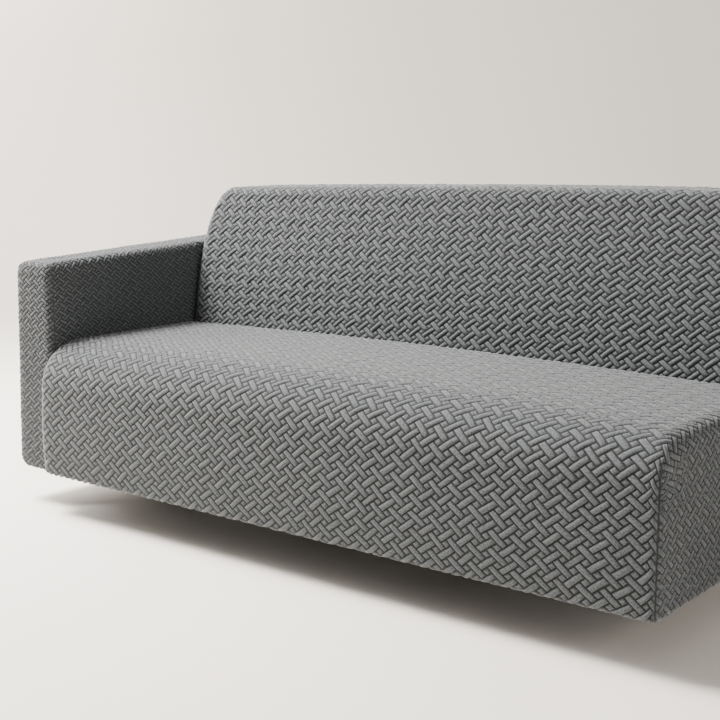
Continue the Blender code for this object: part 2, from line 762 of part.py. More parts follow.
def arm_end_panel(name, face, into, height, edges, inner_round):
    """Flat end of the arm, its outline rolled over on to the sides and the hem turned.

    `edges` holds the roll's radius on the outer side, the top's outer and inner end and the
    inner side. With no inner round the inner side is left as a straight cut edge.
    """
    outer_edge, top_edge, top_inner_edge, inner_edge = edges
    outer, low, high = ARM_OUTER_ROUND, HEM_HEIGHT, height
    inner_x = ARM_FACE - inner_round
    near, far = [0, 0.25, 0.5], [0.5, 0.75, 1]
    low_centre, high_centre = (outer, low + outer), (outer, high - outer)

    left = plate_corner(low_centre, outer, math.pi, outer_edge, HEM_ROUND, reversed(near))
    left = left + plate_side((0, low + outer), (0, high - outer), (-1, 0),
                             outer_edge, outer_edge, steps(7)[1:-1])
    left += plate_corner(high_centre, outer, QUARTER, top_edge, outer_edge, reversed(far))
    bottom = plate_corner(low_centre, outer, math.pi, outer_edge, HEM_ROUND, far)
    top = plate_corner(high_centre, outer, QUARTER, top_edge, outer_edge, reversed(near))
    if inner_round:
        low_inner, high_inner = (inner_x, low + inner_round), (inner_x, high - inner_round)
        shares = steps(4)[1:-1]
        bottom += plate_side((outer, low), (inner_x, low), (0, -1), HEM_ROUND, HEM_ROUND, shares)
        bottom += plate_corner(low_inner, inner_round, -QUARTER, HEM_ROUND, inner_edge, near)
        top += plate_side((outer, high), (inner_x, high), (0, 1),
                          top_edge, top_inner_edge, shares)
        top += plate_corner(high_inner, inner_round, 0, inner_edge, top_inner_edge,
                            reversed(far))
        right = plate_corner(low_inner, inner_round, -QUARTER, HEM_ROUND, inner_edge, far)
        right += plate_side((ARM_FACE, low + inner_round), (ARM_FACE, high - inner_round),
                            (1, 0), inner_edge, inner_edge, steps(7)[1:-1])
        right += plate_corner(high_inner, inner_round, 0, inner_edge, top_inner_edge, near)
    else:
        shares = steps(6)[1:]
        bottom += plate_side((outer, low), (inner_x, low), (0, -1), HEM_ROUND, HEM_ROUND, shares)
        top += plate_side((outer, high), (inner_x, high), (0, 1),
                          top_edge, top_inner_edge, shares)
        right = plate_side((inner_x, low + HEM_ROUND), (inner_x, high - top_inner_edge), (1, 0),
                           0, 0, steps(len(left) - 1))

    def flat(border):
        return [(point[0] - outward[0] * radius, point[1] - outward[1] * radius)
                for point, outward, radius in border]

    def rib(entry):
        (x, z), outward, radius = entry
        line = []
        for share in steps(4):
            angle = QUARTER * share
            back = radius * (1 - math.sin(angle))
            line.append((x - outward[0] * back, face + into * radius * (1 - math.cos(angle)),
                         z - outward[1] * back))
        line.append((x, face + into * (radius + SEAM_TAIL), z))
        return line

    sheet = Sheet()
    rows = coons(flat(left), flat(right), flat(bottom), flat(top))
    sheet.strips([[(x, face, z) for x, z in row] for row in rows])
    sheet.strips([rib(entry) for entry in left])
    sheet.strips([rib(entry) for entry in top])
    if inner_round:
        sheet.strips([rib(entry) for entry in right])
    hems = []
    for entry in bottom:
        line = rib(entry)
        x, y, z = line[-1]
        to_end = min(x - outer - ARM_HEM_CLEAR, inner_x - x)
        turn = HEM_TURN * eased(to_end / HEM_TAPER)
        if turn:
            line[-1] = (x, y + into * turn, z)
        hems.append(line)
    sheet.strips(hems)
    return sheet.finish(name)


def arm_front_panel():
    edges = (ARM_EDGE_OUTER, ARM_EDGE_TOP, ARM_EDGE_TOP, ARM_EDGE_INNER)
    height = arm_height(ARM_SETBACK + ARM_EDGE_TOP)
    return arm_end_panel("arm_front_panel", ARM_SETBACK, 1, height, edges, ARM_INNER_ROUND)


def arm_rear_panel():
    edges = (REAR_EDGE, REAR_EDGE, REAR_EDGE_AT_ARM, 0)
    height = arm_height(DEPTH - REAR_EDGE)
    return arm_end_panel("arm_rear_panel", DEPTH, -1, height, edges, 0)


# ---------------------------------------------------------------- build

def main():
    for item in list(bpy.data.objects):
        bpy.data.objects.remove(item)
    seat_panel()
    inside_back_panel()
    outside_back_panel()
    back_end_panel()
    arm_wrap_panel()
    arm_front_panel()
    arm_rear_panel()


if __name__ == "__main__":
    main()
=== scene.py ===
"""Stretch slipcover of a one-armed sofa: seven panels of grey jacquard with a basket relief.

Every panel starts as a flat cut, as the cloth is before it is sewn. The relief is laid out on
that flat cut in tiles of the woven pattern, trimmed to the cut's outline and then wrapped over
the sofa's form, so the strands run on over each rolled edge as they do in real cloth.
"""

import math

import bpy
import numpy as np
from bpy.props import FloatProperty, IntProperty, PointerProperty, StringProperty
from mathutils import Matrix, Vector
from mathutils.bvhtree import BVHTree
from mathutils.kdtree import KDTree


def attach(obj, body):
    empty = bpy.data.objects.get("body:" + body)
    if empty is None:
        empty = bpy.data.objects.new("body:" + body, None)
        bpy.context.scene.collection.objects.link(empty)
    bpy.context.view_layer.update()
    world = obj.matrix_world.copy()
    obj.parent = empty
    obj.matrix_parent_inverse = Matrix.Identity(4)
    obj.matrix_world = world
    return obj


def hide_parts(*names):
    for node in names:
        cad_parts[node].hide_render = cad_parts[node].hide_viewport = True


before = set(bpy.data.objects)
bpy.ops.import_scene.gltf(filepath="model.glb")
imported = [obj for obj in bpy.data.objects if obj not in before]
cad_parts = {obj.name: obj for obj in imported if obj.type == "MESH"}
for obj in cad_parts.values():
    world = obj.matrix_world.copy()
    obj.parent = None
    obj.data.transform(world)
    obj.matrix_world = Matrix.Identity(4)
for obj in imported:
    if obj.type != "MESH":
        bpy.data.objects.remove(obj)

bl_info = {
    "name": "Sofa slipcover",
    "version": (1, 0, 0),
    "blender": (4, 5, 0),
    "location": "View3D > Sidebar > Slipcover",
    "description": "Builds a fitted stretch slipcover with a raised basket pattern",
    "category": "Add Mesh",
}

# Form of the fitted cover in metres, counted from the sofa's corner: arm side, seat front, floor
LENGTH = 1.868
DEPTH = 0.820
HEM_HEIGHT = 0.105
SHEET = 0.0025
SEAM_GAP = 0.0003
SEAM_TAIL = 0.001
CREASE_GAP = 0.0015
HEM_ROUND = 0.012
HEM_TURN = 0.025
HEM_TURN_AT_CORNER = 0.002
HEM_TAPER = 0.050
SEAT_HEIGHT = 0.441
SEAT_CROWN = 0.013
SEAT_DEPTH = 0.553
FRONT_REACH = 0.165
FRONT_FALL = 0.130
CORNER_REACH = 0.110
CORNER_FALL = 0.100
CORNER_BLEND = 0.400
CORNER_FALL_EXTRA = 0.035
SIDE_REACH = 0.040
SIDE_FALL = 0.040
CORNER_ROUND = 0.015
CORNER_ROUND_GROWTH = 0.9
FRONT_BELLY = 0.004
BELLY_FADE = 0.100
LEFT_ROUND = 0.036
LEFT_WALL = 0.011
CREASE_ROLL = 0.006
CREASE_WALL = 0.003
CREASE_DIP = 0.006
CREASE_DIP_WIDTH = 0.015
DART_TOP = 0.395
ARM_WIDTH = 0.136
ARM_SETBACK = 0.049
ARM_HEIGHT = 0.642
ARM_RISE = 0.043
ARM_OUTER_ROUND = 0.035
ARM_INNER_ROUND = 0.018
ARM_EDGE_OUTER = 0.025
ARM_EDGE_TOP = 0.020
ARM_EDGE_INNER = 0.015
ARM_ROUND_AT_BACK = 0.003
ARM_ROUND_FADE = 0.080
ARM_REAR_STEP = 0.008
ARM_HEM_CLEAR = 0.021
ARM_SPLAY = 0.022
ARM_HEM_DROP = 0.012
ARM_DROP_TOP = 0.360
ARM_DROP_FADE = (0.200, 0.700)
BACK_HEIGHT = 0.8175
BACK_RISE = 0.026
BACK_CROWN = 0.0095
BACK_LEAN = 0.075
BACK_BULGE = 0.005
BACK_EDGE = 0.030
BACK_TUCK = 0.012
LEFT_CORNER_REACH = 0.108
LEFT_CORNER_FALL = 0.270
RIGHT_CORNER_REACH = 0.060
RIGHT_CORNER_FALL = 0.060
REAR_EDGE = 0.020
REAR_EDGE_AT_ARM = 0.004
REAR_EDGE_TAPER = 0.050
PADDING = 2.5
MOUNT = np.array((LENGTH / 2, 0.300, SEAT_HEIGHT + SEAT_CROWN - SHEET))

HALF_GAP = SEAM_GAP / 2
DROP_END = HEM_HEIGHT + HEM_ROUND
QUARTER = math.pi / 2
PAST_EDGE = SEAM_TAIL + SEAM_GAP
ARM_FACE = ARM_WIDTH - HALF_GAP
BACK_LEFT = ARM_WIDTH + HALF_GAP


# ---------------------------------------------------------------- small helpers

def mix(first, last, share):
    return first + (last - first) * share


def mixed(first, last, share):
    """Point at a share of the way between two points."""
    return mix(first[0], last[0], share), mix(first[1], last[1], share)


def held(share):
    return min(max(share, 0.0), 1.0)


def eased(share):
    share = held(share)
    return share * share * (3 - 2 * share)


def eased_all(share):
    share = np.clip(share, 0.0, 1.0)
    return share * share * (3 - 2 * share)


def steps(count):
    return [index / count for index in range(count + 1)]


def round_edge(radius, count):
    """Steps round a quarter circle: angle, how far it has come in, and how far it has to go."""
    angles = [QUARTER * share for share in steps(count)]
    return [(angle, radius * (1 - math.cos(angle)), radius * (1 - math.sin(angle)))
            for angle in angles]


def moved(point, direction, distance):
    return point[0] + direction[0] * distance, point[1] + direction[1] * distance


def padded(angle):
    """How far out and how far up a padded edge has come at an angle from its side."""
    power = 2 / PADDING
    return max(math.cos(angle), 0.0) ** power, max(math.sin(angle), 0.0) ** power


def padded_rise(out):
    """Height share of a padded edge where it stands out by the share `out`."""
    return (1 - held(out) ** PADDING) ** (1 / PADDING)


def sag(distance, radius):
    """Drop of a round edge of this radius at a distance from its side plane."""
    if distance >= radius:
        return 0.0
    return radius - math.sqrt(max(radius ** 2 - (radius - distance) ** 2, 0.0))


def lengths(line):
    """Running length at each point of a line of places."""
    total = [0.0]
    for start, end in zip(line, line[1:]):
        total.append(total[-1] + math.dist(start, end))
    return total


def from_arm(x):
    """Share of the way from the arm to the free end."""
    return (x - ARM_WIDTH) / (LENGTH - ARM_WIDTH)


def seat_height(x):
    along = from_arm(x)
    return SEAT_HEIGHT + SEAT_CROWN * 4 * along * (1 - along)


def front_reach(x):
    return mix(CORNER_REACH, FRONT_REACH, eased((LENGTH - x) / CORNER_BLEND))


def front_fall(x):
    return mix(CORNER_FALL, FRONT_FALL, eased((LENGTH - x) / CORNER_BLEND))


def arm_height(y):
    return ARM_HEIGHT + ARM_RISE * y


def back_height(x):
    along = from_arm(x)
    return BACK_HEIGHT + BACK_RISE * along + BACK_CROWN * 4 * along * (1 - along)


def back_face(x, z):
    """Depth at which the inside back's face stands at a height."""
    rise = held((z - SEAT_HEIGHT) / (back_height(x) - SEAT_HEIGHT))
    return SEAT_DEPTH + BACK_LEAN * rise - BACK_BULGE * math.sin(math.pi * rise)


def seat_edge_at_arm(y):
    """Height at which the seat's rolled edge ends against the arm."""
    wall = LEFT_ROUND + LEFT_WALL
    out = held((FRONT_REACH - y) / (FRONT_REACH - wall))
    height = SEAT_HEIGHT - FRONT_FALL * (1 - padded_rise(out))
    return height - (CREASE_ROLL + CREASE_WALL) * (1 - out)


def hem_turn(to_end):
    """Width of the turned hem at a distance from the panel's end."""
    return mix(HEM_TURN_AT_CORNER, HEM_TURN, eased(to_end / HEM_TAPER))


def hem(foot, inward, turn):
    """Places of a turned hem below the foot of a drop: a round edge, then the turn."""
    line = [(*moved(foot, inward, come), HEM_HEIGHT + ahead)
            for _, come, ahead in round_edge(HEM_ROUND, 6)[1:]]
    return line + [(*moved(foot, inward, HEM_ROUND + turn), HEM_HEIGHT)]


def splayed(place):
    """Widen the arm towards its hem and lower its hem at the front."""
    x, y, z = place.T
    down = np.clip((ARM_HEIGHT - z) / (ARM_HEIGHT - HEM_HEIGHT), 0, 1)
    out = ARM_SPLAY * down * (1 - np.clip(x / ARM_WIDTH, 0, 1))
    start, end = ARM_DROP_FADE
    low = eased_all((ARM_DROP_TOP - z) / (ARM_DROP_TOP - HEM_HEIGHT))
    low *= eased_all((end - y) / (end - start)) * (x < ARM_WIDTH)
    return place - np.stack((out, 0 * y, ARM_HEM_DROP * low), 1)


def coons(left, right, bottom, top, lateness=1):
    """Fill four border lines with a grid, returned as rows from bottom to top.

    With more lateness the rows stay level for longer and take the top line's form late.
    """
    rows = []
    for row, (start, end) in enumerate(zip(left, right)):
        v = (row / (len(left) - 1)) ** lateness
        line = []
        for low, high in zip(bottom, top):
            u = (low[0] - bottom[0][0]) / (bottom[-1][0] - bottom[0][0])
            line.append(tuple(
                mix(start[k], end[k], u) + mix(low[k], high[k], v)
                - mix(mix(bottom[0][k], bottom[-1][k], u), mix(top[0][k], top[-1][k], u), v)
                for k in range(2)))
        rows.append(line)
    return rows


# ---------------------------------------------------------------- flat cuts

# Two points of a cut are one where both their places on the sofa and on the cloth are this
# close. The first distance also tells which points lie on an outline
WELD_DISTANCE = 0.00002
SAME_ON_CLOTH = 0.0002

# An outline's sides are searched by places about this far apart
OUTLINE_STEP = 0.002

# Floor for lengths that are divided by
TINY = 1e-15

# Length of cloth over which its course turns from a fan round a corner to straight on
COURSE_BLEND = 0.100


def tree_of(places):
    """Search tree of places, numbered in their order."""
    tree = KDTree(len(places))
    for number, place in enumerate(places):
        tree.insert(place, number)
    tree.balance()
    return tree


def boundary(faces):
    """The longest closed line of edges that only one face has."""
    edges = {(a, b) for face in faces for a, b in zip(face, face[1:] + face[:1])}
    follows = {}
    for a, b in edges:
        if (b, a) not in edges:
            follows.setdefault(a, []).append(b)
    best = []
    while follows:
        start = next(iter(follows))
        line, after = [start], follows[start].pop()
        while after != start and after in follows:
            line.append(after)
            if not follows[after]:
                break
            after = follows[after].pop()
        follows = {a: ends for a, ends in follows.items() if ends}
        if len(line) > len(best):
            best = line
    return best


def joined(strips):
    """All points of the strips, and the squares between neighbouring lines of each strip."""
    points, quads = [], []
    for lines in strips:
        last = None
        for line in lines:
            first = len(points)
            points += line
            if last is not None:
                quads += [(a, a + 1, b + 1, b)
                          for a, b in zip(range(last, first - 1), range(first, len(points) - 1))]
            last = first
    return np.array(points, float), quads


class Cut:
    """The flat cut of one panel and the place on the sofa that each point of it goes to.

    It is made from strips. A strip is a list of lines, and a line a list of points, each as
    (x, y, z, across, up): the place in metres, then where that lies on the flat cloth.
    """

    def __init__(self, strips):
        points, quads = joined(strips)
        same = self.welded(points)
        triangles = []
        for a, b, c, d in quads:
            for triangle in ((a, b, c), (a, c, d)):
                a1, b1, c1 = (int(same[number]) for number in triangle)
                if len({a1, b1, c1}) == 3:
                    ahead, aside = points[b1, 3:] - points[a1, 3:], points[c1, 3:] - points[a1, 3:]
                    turn = ahead[0] * aside[1] - ahead[1] * aside[0]
                    triangles.append((a1, b1, c1) if turn > 0 else (a1, c1, b1))
        self.place, self.flat = splayed(points[:, :3]), points[:, 3:]
        self.triangles = np.array(triangles)
        self.outline = self.flat[boundary(triangles)]
        corners = self.place[self.triangles]
        facing = np.cross(corners[:, 1] - corners[:, 0], corners[:, 2] - corners[:, 0])
        self.outward = np.zeros_like(self.place)
        for corner in range(3):
            np.add.at(self.outward, self.triangles[:, corner], facing)
        self.outward = unit(self.outward)
        self.tree = BVHTree.FromPolygons([(p, q, 0.0) for p, q in self.flat.tolist()], triangles)
        self.edge = Outline(self.outline)

    def welded(self, points):
        """For each point, the first point that is the same one."""
        tree = tree_of(points[:, :3])
        same = np.arange(len(points))
        for number, point in enumerate(points):
            if same[number] == number:
                for _, other, _ in tree.find_range(point[:3], WELD_DISTANCE):
                    apart = np.abs(points[other, 3:] - point[3:]).max()
                    if other > number and apart < SAME_ON_CLOTH:
                        same[other] = number
        return same

    def wrapped(self, flat):
        """Places and outward directions of points of the flat cut."""
        found = np.empty(len(flat), int)
        at = np.empty((len(flat), 2))
        for number, (p, q) in enumerate(flat.tolist()):
            where, _, found[number], _ = self.tree.find_nearest((p, q, 0.0))
            at[number] = where[:2]
        corners = self.triangles[found]
        a, b, c = (self.flat[corners[:, k]] for k in range(3))
        whole = cross(b - a, c - a)
        share_b = cross(at - a, c - a) / whole
        share_c = cross(b - a, at - a) / whole
        shares = np.stack((1 - share_b - share_c, share_b, share_c), 1)
        place = (self.place[corners] * shares[:, :, None]).sum(1)
        outward = (self.outward[corners] * shares[:, :, None]).sum(1)
        return place, unit(outward)


def cross(first, second):
    return first[:, 0] * second[:, 1] - first[:, 1] * second[:, 0]


def unit(directions):
    return directions / np.maximum(np.linalg.norm(directions, axis=1, keepdims=True), TINY)


class Outline:
    """A closed outline on the flat cloth."""

    def __init__(self, points):
        self.points = points
        places, owners = [], []
        for number, start in enumerate(points):
            end = points[(number + 1) % len(points)]
            count = max(int(np.linalg.norm(end - start) / OUTLINE_STEP), 1)
            for share in steps(count)[:-1]:
                places.append(mix(start, end, share))
                owners.append(number)
        self.owners = owners
        self.tree = tree_of([(p, q, 0.0) for p, q in places])

    def nearest(self, flat):
        """The closest place on the outline, and how far off it is."""
        count = len(self.points)
        owners = np.array([self.owners[self.tree.find((p, q, 0.0))[1]] for p, q in flat.tolist()])
        best, distance = np.zeros_like(flat), np.full(len(flat), np.inf)
        for beside in (-1, 0, 1):
            start = self.points[(owners + beside) % count]
            along = self.points[(owners + beside + 1) % count] - start
            size = np.maximum((along ** 2).sum(1), TINY ** 2)
            share = np.clip(((flat - start) * along).sum(1) / size, 0, 1)
            place = start + share[:, None] * along
            apart = np.linalg.norm(flat - place, axis=1)
            nearer = apart < distance
            best[nearer], distance[nearer] = place[nearer], apart[nearer]
        return best, distance

    def outside(self, flat):
        """Distance outside the outline, negative inside it."""
        _, distance = self.nearest(flat)
        inside = np.zeros(len(flat), bool)
        for (x0, y0), (x1, y1) in zip(self.points, np.roll(self.points, -1, axis=0)):
            if y0 != y1:
                spans = (flat[:, 1] < max(y0, y1)) & (flat[:, 1] >= min(y0, y1))
                crossing = x0 + (flat[:, 1] - y0) * (x1 - x0) / (y1 - y0)
                inside ^= spans & (flat[:, 0] < crossing)
        return np.where(inside, -distance, distance)

    def trim(self, points, faces):
        """Cut a flat mesh to the outline. Columns of `points` past the second go along."""
        value = self.outside(points[:, :2])
        value[np.abs(value) < WELD_DISTANCE] = 0.0
        sides = value.tolist()
        added, split, kept = [], {}, []
        for face in faces:
            low = min(sides[number] for number in face)
            high = max(sides[number] for number in face)
            if high <= 0 and low < 0:
                kept.append(face)
            elif low < 0:
                trimmed = []
                for a, b in zip(face, face[1:] + face[:1]):
                    if sides[a] <= 0:
                        trimmed.append(a)
                    if sides[a] * sides[b] < 0:
                        key = (min(a, b), max(a, b))
                        if key not in split:
                            share = sides[key[0]] / (sides[key[0]] - sides[key[1]])
                            split[key] = len(points) + len(added)
                            added.append(mix(points[key[0]], points[key[1]], share))
                        trimmed.append(split[key])
                if len(trimmed) > 2:
                    kept.append(tuple(trimmed))
        if added:
            added = np.array(added)
            added[:, :2], _ = self.nearest(added[:, :2])
            points = np.vstack((points, added))
        return points, kept


def rim(flat, outer, inner):
    """Triangles between two closed lines that run round the same outline."""
    first = int(np.linalg.norm(flat[inner] - flat[outer[0]], axis=1).argmin())
    inner = inner[first:] + inner[:first] + [inner[first]]
    outer = outer + outer[:1]
    faces = []
    i = j = 0
    while i < len(outer) - 1 or j < len(inner) - 1:
        step_out = step_in = math.inf
        if i < len(outer) - 1:
            step_out = math.dist(flat[outer[i + 1]], flat[inner[j]])
        if j < len(inner) - 1:
            step_in = math.dist(flat[outer[i]], flat[inner[j + 1]])
        if step_out <= step_in:
            faces.append((outer[i + 1], outer[i], inner[j]))
            i += 1
        else:
            faces.append((outer[i], inner[j], inner[j + 1]))
            j += 1
    return faces


# ---------------------------------------------------------------- the woven pattern

# Tiles and their sizes in cells. The group of four repeats over the cloth and spans fewer
# cells than GROUP_SPAN
TILES = {"rise": (3, 1), "fall": (1, 3), "knot": (1, 1)}
GROUP = ((0, 0, "rise"), (3, -1, "fall"), (0, 1, "knot"), (2, 1, "knot"))
GROUP_SPAN = 8
SQUARE = ((0, 0), (1, 0), (1, 1), (0, 1))

# Rings up a tile's side: how far each is drawn in, in cells, and its share of the height
SHOULDERS = ((0.11, 0.37), (0.23, 0.81), (0.39, 1.0))
KNOT_SHOULDERS = ((0.15, 0.50), (0.34, 1.0))

# Height lost at a long tile's ends, height of a knot, and spread of lift and lean between tiles
END_SWELL = 0.22
KNOT_SWELL = 0.84
LIFT_SPREAD = 0.10
LEAN_SPREAD = 0.05

# How far the strands wander off their straight course, in metres, in waves of about 18 and 11 cm
WANDER, SHORT_WANDER = 0.0015, 0.0011

# Place across the cloth past which the pattern is tighter, and its share there: here nowhere
EVEN = (math.inf, 1.0)


class Weave:
    """Raised tiles of a basket pattern whose strands lie aslant both ways on the cloth."""

    def __init__(self, across, up, seed, tighter):
        self.across = across
        self.up = up
        self.tighter = tighter
        self.chance = np.random.default_rng(seed)

    def laid(self, points):
        """Points of the pattern, their columns and rows turned to places on the flat cloth."""
        points = np.array(points, float)
        x = self.drawn((points[:, 0] + points[:, 1]) * self.across)
        y = (points[:, 0] - points[:, 1]) * self.up
        away_x = WANDER * np.sin(31 * x + 17 * y) + SHORT_WANDER * np.sin(57 * y - 23 * x + 1.0)
        away_y = WANDER * np.sin(27 * y - 19 * x + 2.0) + SHORT_WANDER * np.sin(49 * x + 11 * y)
        points[:, :2] = np.stack((x + away_x, y + away_y), 1)
        return points

    def drawn(self, x):
        """Past the start of its tighter part the pattern is finer by this share."""
        start, share = self.tighter
        return x - np.maximum(x - start, 0) * (1 - share)

    def tiles(self, outline):
        """Column, row and kind of every tile that may touch an outline."""
        past = GROUP_SPAN * max(self.across, self.up)
        low, high = outline.min(0) - past, outline.max(0) + past
        reach = int(max(np.abs((low, high)).max(0)) * (1 / self.across + 1 / self.up)
                    / self.tighter[1])
        found = []
        for row in range(-2 * reach, 2 * reach, 2):
            first = -row % 4 - 2 * reach // 4 * 4
            for column in range(first, 2 * reach, 4):
                x, y = self.drawn((column + row) * self.across), (column - row) * self.up
                if low[0] < x < high[0] and low[1] < y < high[1]:
                    found += [(column + right, row + above, kind) for right, above, kind in GROUP]
        return found

    def relief(self, tiles):
        """The outer face, laid flat: points as (across, up, height) and faces."""
        numbers, points, faces = {}, [], []
        for column, row, kind in tiles:
            size = TILES[kind]
            ring = tile_ring(size)
            loop = [numbered((column + x, row + y), numbers, points) for x, y in ring]
            lift = 1 + self.chance.normal(0, LIFT_SPREAD)
            lean, roll = self.chance.normal(0, LEAN_SPREAD, 2)
            for drawn_in, height in SHOULDERS if max(size) > 1 else KNOT_SHOULDERS:
                inner = []
                for x, y in ring:
                    x = min(max(x, drawn_in), size[0] - drawn_in)
                    y = min(max(y, drawn_in), size[1] - drawn_in)
                    end = max(abs(2 * x / size[0] - 1), abs(2 * y / size[1] - 1))
                    swell = 1 - END_SWELL * end ** 2 if max(size) > 1 else KNOT_SWELL
                    slope = lean * (x - size[0] / 2) + roll * (y - size[1] / 2)
                    inner.append(len(points))
                    points.append((column + x, row + y, height * swell * (lift + slope)))
                for k in range(len(loop)):
                    after = (k + 1) % len(loop)
                    faces.append((loop[k], loop[after], inner[after], inner[k]))
                loop = inner
            if size[0] < size[1]:
                loop = loop[1:] + loop[:1]
            faces += [(loop[k], loop[k + 1], loop[-k - 2], loop[-k - 1])
                      for k in range(max(size))]
        return self.laid(points), faces

    def lining(self, tiles):
        """The inner face, laid flat: one square for each cell of the pattern."""
        numbers, points, faces = {}, [], []
        for column, row, kind in tiles:
            for x in range(TILES[kind][0]):
                for y in range(TILES[kind][1]):
                    corners = [(column + x + right, row + y + up) for right, up in SQUARE]
                    faces.append(tuple(numbered(key, numbers, points) for key in corners))
        return self.laid(points), faces


def numbered(key, numbers, points):
    """Number of a cell's corner, added to the points when it first comes up."""
    if key not in numbers:
        numbers[key] = len(points)
        points.append((*key, 0.0))
    return numbers[key]


def tile_ring(size):
    """Cell corners round a tile, starting at its first corner."""
    wide, deep = size
    ring = [(x, 0) for x in range(wide)] + [(wide, y) for y in range(deep)]
    return ring + [(x, deep) for x in range(wide, 0, -1)] + [(0, y) for y in range(deep, 0, -1)]


# ---------------------------------------------------------------- seat

EDGE_STEPS = 26
DROP_STEPS = 14
SEAT_SIDE = LENGTH - SIDE_REACH
CORNER_DEPTH = front_reach(SEAT_SIDE)
SIDE_TOP = seat_height(SEAT_SIDE)


def edge_angles():
    """Angles down a padded edge, from its top to its side."""
    return [QUARTER * (1 - share) for share in steps(EDGE_STEPS)]


def edge_length(reach, fall):
    """Running length of cloth over a padded edge at each of its angles."""
    line = [(reach * (1 - padded(angle)[0]), fall * padded(angle)[1]) for angle in edge_angles()]
    return lengths(line)


def front_edge_length(x):
    """Running length of cloth from the seat's top down the front, at each point of a line."""
    edge = edge_length(front_reach(x), front_fall(x))
    straight = seat_height(x) - front_fall(x) - HEM_HEIGHT - HEM_ROUND
    return edge + [edge[-1] + straight * share for share in steps(DROP_STEPS)[1:]]


def drop(foot, inward, high, belly=0.0):
    """Places of a straight drop from the end of its padded edge down to the hem."""
    return [(*moved(foot, inward, -belly * math.sin(math.pi * share)), mix(high, DROP_END, share))
            for share in steps(DROP_STEPS)[1:]]


def with_hem(line, foot, inward, turn, down):
    """Add the turned hem to a line, running on in one direction of the flat cloth."""
    turned = hem(foot, inward, turn)
    last = line[-1]
    for place, length in zip(turned, lengths([last[:3]] + turned)[1:]):
        line.append((*place, *moved(last[3:], down, length)))
    return line


def crease_dip(y, rear):
    """The top dips where it is drawn into the crease."""
    return CREASE_DIP * held(1 - (rear - y) / CREASE_DIP_WIDTH) ** 2


def seat_rear(x):
    """Where the seat's cloth ends against the inside back."""
    return SEAT_DEPTH + sag(LENGTH - x, BACK_EDGE) - HALF_GAP


def seat_rows(x):
    """Depth of each row of the seat's top, from the back to the front edge."""
    reach, rear = front_reach(x), seat_rear(x)
    near = rear - CREASE_DIP_WIDTH
    rows = [mix(reach, near, share) for share in steps(12)]
    rows += [mix(near, rear, share) for share in steps(5)[1:]]
    return rows[::-1]


def seat_stations():
    """Lines across the seat: place, depth of the drop, its inward side, and roll at the arm."""
    stations = [(BACK_LEFT, LEFT_ROUND + LEFT_WALL, (1, 0), CREASE_ROLL + CREASE_WALL)]
    for angle, come, depth in round_edge(LEFT_ROUND, 16):
        x = BACK_LEFT + come
        inward = (math.cos(angle), math.sin(angle))
        stations.append((x, depth, inward, sag(x - BACK_LEFT, CREASE_ROLL)))
    first = stations[-1][0]
    stations += [(mix(first, SEAT_SIDE, share), 0.0, (0, 1), 0.0) for share in steps(48)[1:]]
    return stations


def seat_cut():
    stations = seat_stations()
    on_top = [station[0] for station in stations]
    on_drop = list(on_top)
    for index in range(len(stations) - 2, -1, -1):
        x, depth, _, roll = stations[index]
        x1, depth1, _, roll1 = stations[index + 1]
        on_top[index] = on_top[index + 1] - math.hypot(x1 - x, roll1 - roll)
        on_drop[index] = on_drop[index + 1] - math.hypot(x1 - x, depth1 - depth)
    first = BACK_LEFT + LEFT_ROUND

    # Top and front drop
    lines = []
    for (x, depth, inward, roll), top_at, drop_at in zip(stations, on_top, on_drop):
        high, reach, fall = seat_height(x), front_reach(x), front_fall(x)
        line = [(x, y, high - roll - crease_dip(y, seat_rear(x)), top_at, y)
                for y in seat_rows(x)]
        down = front_edge_length(x)
        for index, angle in enumerate(edge_angles()[1:], 1):
            out, up = padded(angle)
            share = eased(index / EDGE_STEPS)
            z = high - fall * (1 - up) - roll * (1 - out)
            line.append((x, mix(reach, depth, out), z, mix(top_at, drop_at, share),
                         reach - down[index]))
        belly = FRONT_BELLY * inward[1] * eased((LENGTH - CORNER_ROUND - x) / BELLY_FADE)
        places = drop((x, depth), inward, high - fall, belly)
        line += [(*place, drop_at, reach - length)
                 for place, length in zip(places, down[EDGE_STEPS + 1:])]
        turn = hem_turn(min(x - first, LENGTH - CORNER_ROUND - x))
        lines.append(with_hem(line, (x, depth), inward, turn, (0, -1)))

    # Free corner, parted by its dart, and the side drop
    front_half, side_half = corner_lines()
    over = len(seat_rows(SEAT_SIDE)) - 1
    front_half[0] = lines[-1][over:]
    side = side_lines()
    flap = flap_lines(side[-1])
    return Cut([lines, front_half, side_half + side, flap])


def corner_radius(out):
    """Radius of the round corner in plan where the side edge stands out by the share `out`."""
    return min(CORNER_ROUND, CORNER_ROUND_GROWTH * SIDE_REACH * out)


